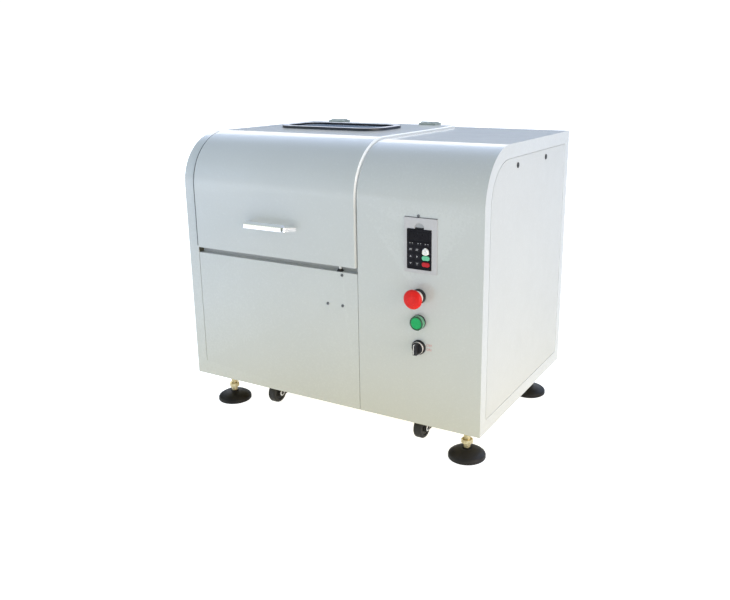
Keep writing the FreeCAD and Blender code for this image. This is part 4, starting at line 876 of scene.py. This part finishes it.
# painted shade: a black strip standing in for the shaded gap under the latch
prism(bm, front, rrect(603.4, 622.6, 415.9, 418.6, 0.4, 2), 0.0, 1.1)
piece("keypad_latch_gap_painted_shade", bm, "black", "root", 0.15)
bm = bmesh.new()
# painted shade: a dark strip along the top of the surround
prism(bm, front, rrect(579.6, 651.6, 437.6, 439.0, 0.3, 2), -0.2, 1.3)
piece("surround_top_painted_shade", bm, "legend_dark", "root", 0.2)

# ribbed diffuser in the lamp, line on the selector's bar
bm = bmesh.new()
prof = [(0, 12.6), (11.35, 12.6), (11.35, 13.35)]
for i in range(14):
    r = 11.1 - 0.78 * i
    prof += [(r, 13.52), (r - 0.39, 13.38)]
prof += [(0, 13.5)]
lathe(bm, prof, front(612, 225, 0), (0, -1, 0), 56)
piece("lamp_diffuser", bm, "green", "root")
bm = bmesh.new()
line = [(-3.3, -10.6), (-2.0, -10.6), (-2.0, 7.0), (-1.3, 8.9), (0.6, 10.6), (-0.5, 11.3), (-2.4, 9.6), (-3.3, 7.4)]
prism(bm, front, turned_pts(line, 612, 171), 19.6, 20.14)
piece("selector_line", bm, "white", "selector", 0.06)
# grip ridges round the selector's skirt
bm = bmesh.new()
for k in range(24):
    a = rad(15 * k + 7.5)
    cx, cz = 612 + 12.55 * math.cos(a), 171 + 12.55 * math.sin(a)
    prism(bm, front, turned_pts([(-0.45, -0.5), (0.45, -0.5), (0.45, 0.5), (-0.45, 0.5)], cx, cz, 15 * k + 7.5), 5.7, 9.3)
piece("selector_grip", bm, "collar", "selector", 0.15)
# black sleeve at the foot of the stop head's pale neck
bm = bmesh.new()
lathe(bm, [(13.1, 4.3), (14.95, 4.3), (14.95, 8.4), (14.5, 9.1), (13.1, 9.1), (13.1, 4.3)], front(612, 279, 0), (0, -1, 0), 56)
piece("stop_sleeve", bm, "black", "root", 0.2)
words("selector_mark_on", "ON", front, 628.5, 166.2, 7.5, 0.12, "legend_red", "root")
words("selector_mark_off", "OFF", front, 628.5, 175.2, 7.5, 0.12, "legend_red", "root")

# ------------------------------------------------------------- hinge screws
CSK = [(2.9, -0.6), (2.9, 0.25), (2.6, 0.55), (2.1, 0.7)]
leaf_z = 585.5
zl = [v.co.z for v in N["lid_hinges"].data.vertices if mm(v.co)[1] < 473.0]
lid_leaf_top = (max(zl) - Z0) * 1000
for tag, body, yy, zz in (("lid", "lid", 470.4, lid_leaf_top), ("rail", "root", 494.2, leaf_z)):
    bm = bmesh.new()
    for hx in (113, 390):
        for dx in (-15.5, 0, 15.5):
            head(bm, top(zz), hx + dx, yy, CSK, turned_pts(cross(0.38, 1.5), 0, 0, 17 + 9 * dx), 0.5)
    piece("hinge_screws_" + tag, bm, "plate_zinc", body, 0.1)

# --------------------------------------------------------------------- rear
bm = bmesh.new()
for col in range(3):
    for r in range(9):
        x0, z0 = 90 + 205 * col, 300 + 22 * r
        prof = [(0.0, 10.4), (1.6, 7.2), (2.5, 3.2), (2.8, 0.2), (2.2, 0.2), (1.9, 3.0), (1.1, 6.4), (-0.2, 8.2)]
        lo = [bm.verts.new(pt(x0 + 1.2, DEEP + w, z0 + h)) for w, h in prof]
        hi = [bm.verts.new(pt(x0 + 148.8, DEEP + w, z0 + h)) for w, h in prof]
        for k in range(len(prof)):
            j = (k + 1) % len(prof)
            bm.faces.new((lo[k], lo[j], hi[j], hi[k]))
        for end, row in ((0, lo), (1, hi)):
            bm.faces.new(row if end else list(reversed(row)))
        cap = [(0.0, 10.4), (1.6, 7.2), (2.5, 3.2), (2.8, 0.2), (-0.2, 0.2)]
        for xa, xb in ((x0 - 0.2, x0 + 1.2), (x0 + 148.8, x0 + 150.2)):
            a = [bm.verts.new(pt(xa, DEEP + w * 0.97, z0 + h)) for w, h in cap]
            b = [bm.verts.new(pt(xb, DEEP + w * 0.97, z0 + h)) for w, h in cap]
            for k in range(len(cap)):
                j = (k + 1) % len(cap)
                bm.faces.new((a[k], a[j], b[j], b[k]))
            bm.faces.new(list(reversed(a)))
            bm.faces.new(b)
piece("rear_louvre_hoods", bm, "housing", "root", 0.25)
bm = bmesh.new()
for x in (48, 268, 488, 702):
    for z in (28, 536):
        head(bm, back, x, z, PAN, turned_pts(cross(0.42, 1.75), 0, 0, x), 1.1)
for z in (198, 367):
    for x in (48, 702):
        head(bm, back, x, z, PAN, turned_pts(cross(0.42, 1.75), 0, 0, z), 1.1)
piece("rear_screw_heads", bm, "plate_zinc", "root", 0.12)
bm = bmesh.new()
for x in (588.6, 631.4):
    head(bm, back, x, 96, [(2.2, 2.6), (2.2, 2.9), (1.9, 3.0)], turned_pts(cross(0.3, 1.25), 0, 0, x), 0.25)
piece("inlet_screws", bm, "plate_zinc", "root")

# --------------------------------------------------------- feet and casters
FEET = {"fl": (55, 63), "fr": (695, 63), "rl": (55, 450), "rr": (695, 450)}
CAST = {"fl": (174, 84), "fr": (576, 84), "rl": (174, 425), "rr": (576, 425)}
for s, (x, y) in FEET.items():
    bm = bmesh.new()
    thread(bm, x, y, 22.1, 112.0, 6.95, 0.24, 2.0)
    piece("stud_thread_" + s, bm, "zinc", "foot_" + s)
    bm = bmesh.new()
    base = pt(x, y, 0)
    base.z = 0
    lathe(bm, [(0, 21.6), (10.6, 21.6), (10.9, 22.3), (10.2, 23.4), (8.6, 23.9), (7.4, 23.4), (0, 23.4)], base, (0, 0, 1), 40)
    piece("stud_socket_" + s, bm, "pad", "foot_" + s, 0.1)
AX = 34.0
for s, (x, y) in CAST.items():
    c = pt(x, y, 0)
    c.z = AX / 1000
    bm = bmesh.new()
    for sg in (1, -1):
        lathe(bm, [(4.15, 14.4), (7.6, 14.4), (7.9, 14.9), (7.6, 15.7), (6.6, 16.2), (5.4, 16.2), (4.15, 15.6), (4.15, 14.4)], c, (sg, 0, 0), 36)
    piece("axle_ring_" + s, bm, "silver", "caster_fork_" + s)
    bm = bmesh.new()
    for sg in (1, -1):
        lathe(bm, [(10.4, 6.6), (17.6, 6.6), (17.6, 7.5), (16.6, 8.3), (13.0, 8.6), (11.2, 8.3), (10.4, 7.6), (10.4, 6.6)], c, (sg, 0, 0), 48)
    piece("wheel_web_" + s, bm, "wheel", "caster_wheel_" + s)

# ------------------------------------------------------------- milling drive
RX, RY, ORB = 249.0, 250.0, 120.0
SPOT = [(ORB, 0), (0, ORB), (-ORB, 0), (0, -ORB)]
SOCKET = [(3.9, -0.5), (3.9, 3.1), (3.6, 3.5), (3.0, 3.6)]
for k, (px, py) in enumerate(SPOT, start=1):
    cx, cy = RX + px, RY + py
    bm = bmesh.new()
    for sx in (-52.5, 52.5):
        for sy in (-7.5, 7.5):
            head(bm, top(483), cx + sx, cy + sy, SOCKET, hexagon(1.9), 2.0)
    piece("bridge_bolts_%d" % k, bm, "screw_black", "planet_%d" % k, 0.15)
    mx, my = RX + px * 0.42, RY + py * 0.42
    words("station_mark_%d" % k, str(k), top(310), mx, my - 5.0, 14, 0.15, "legend_dark", "rotor", align="CENTER")
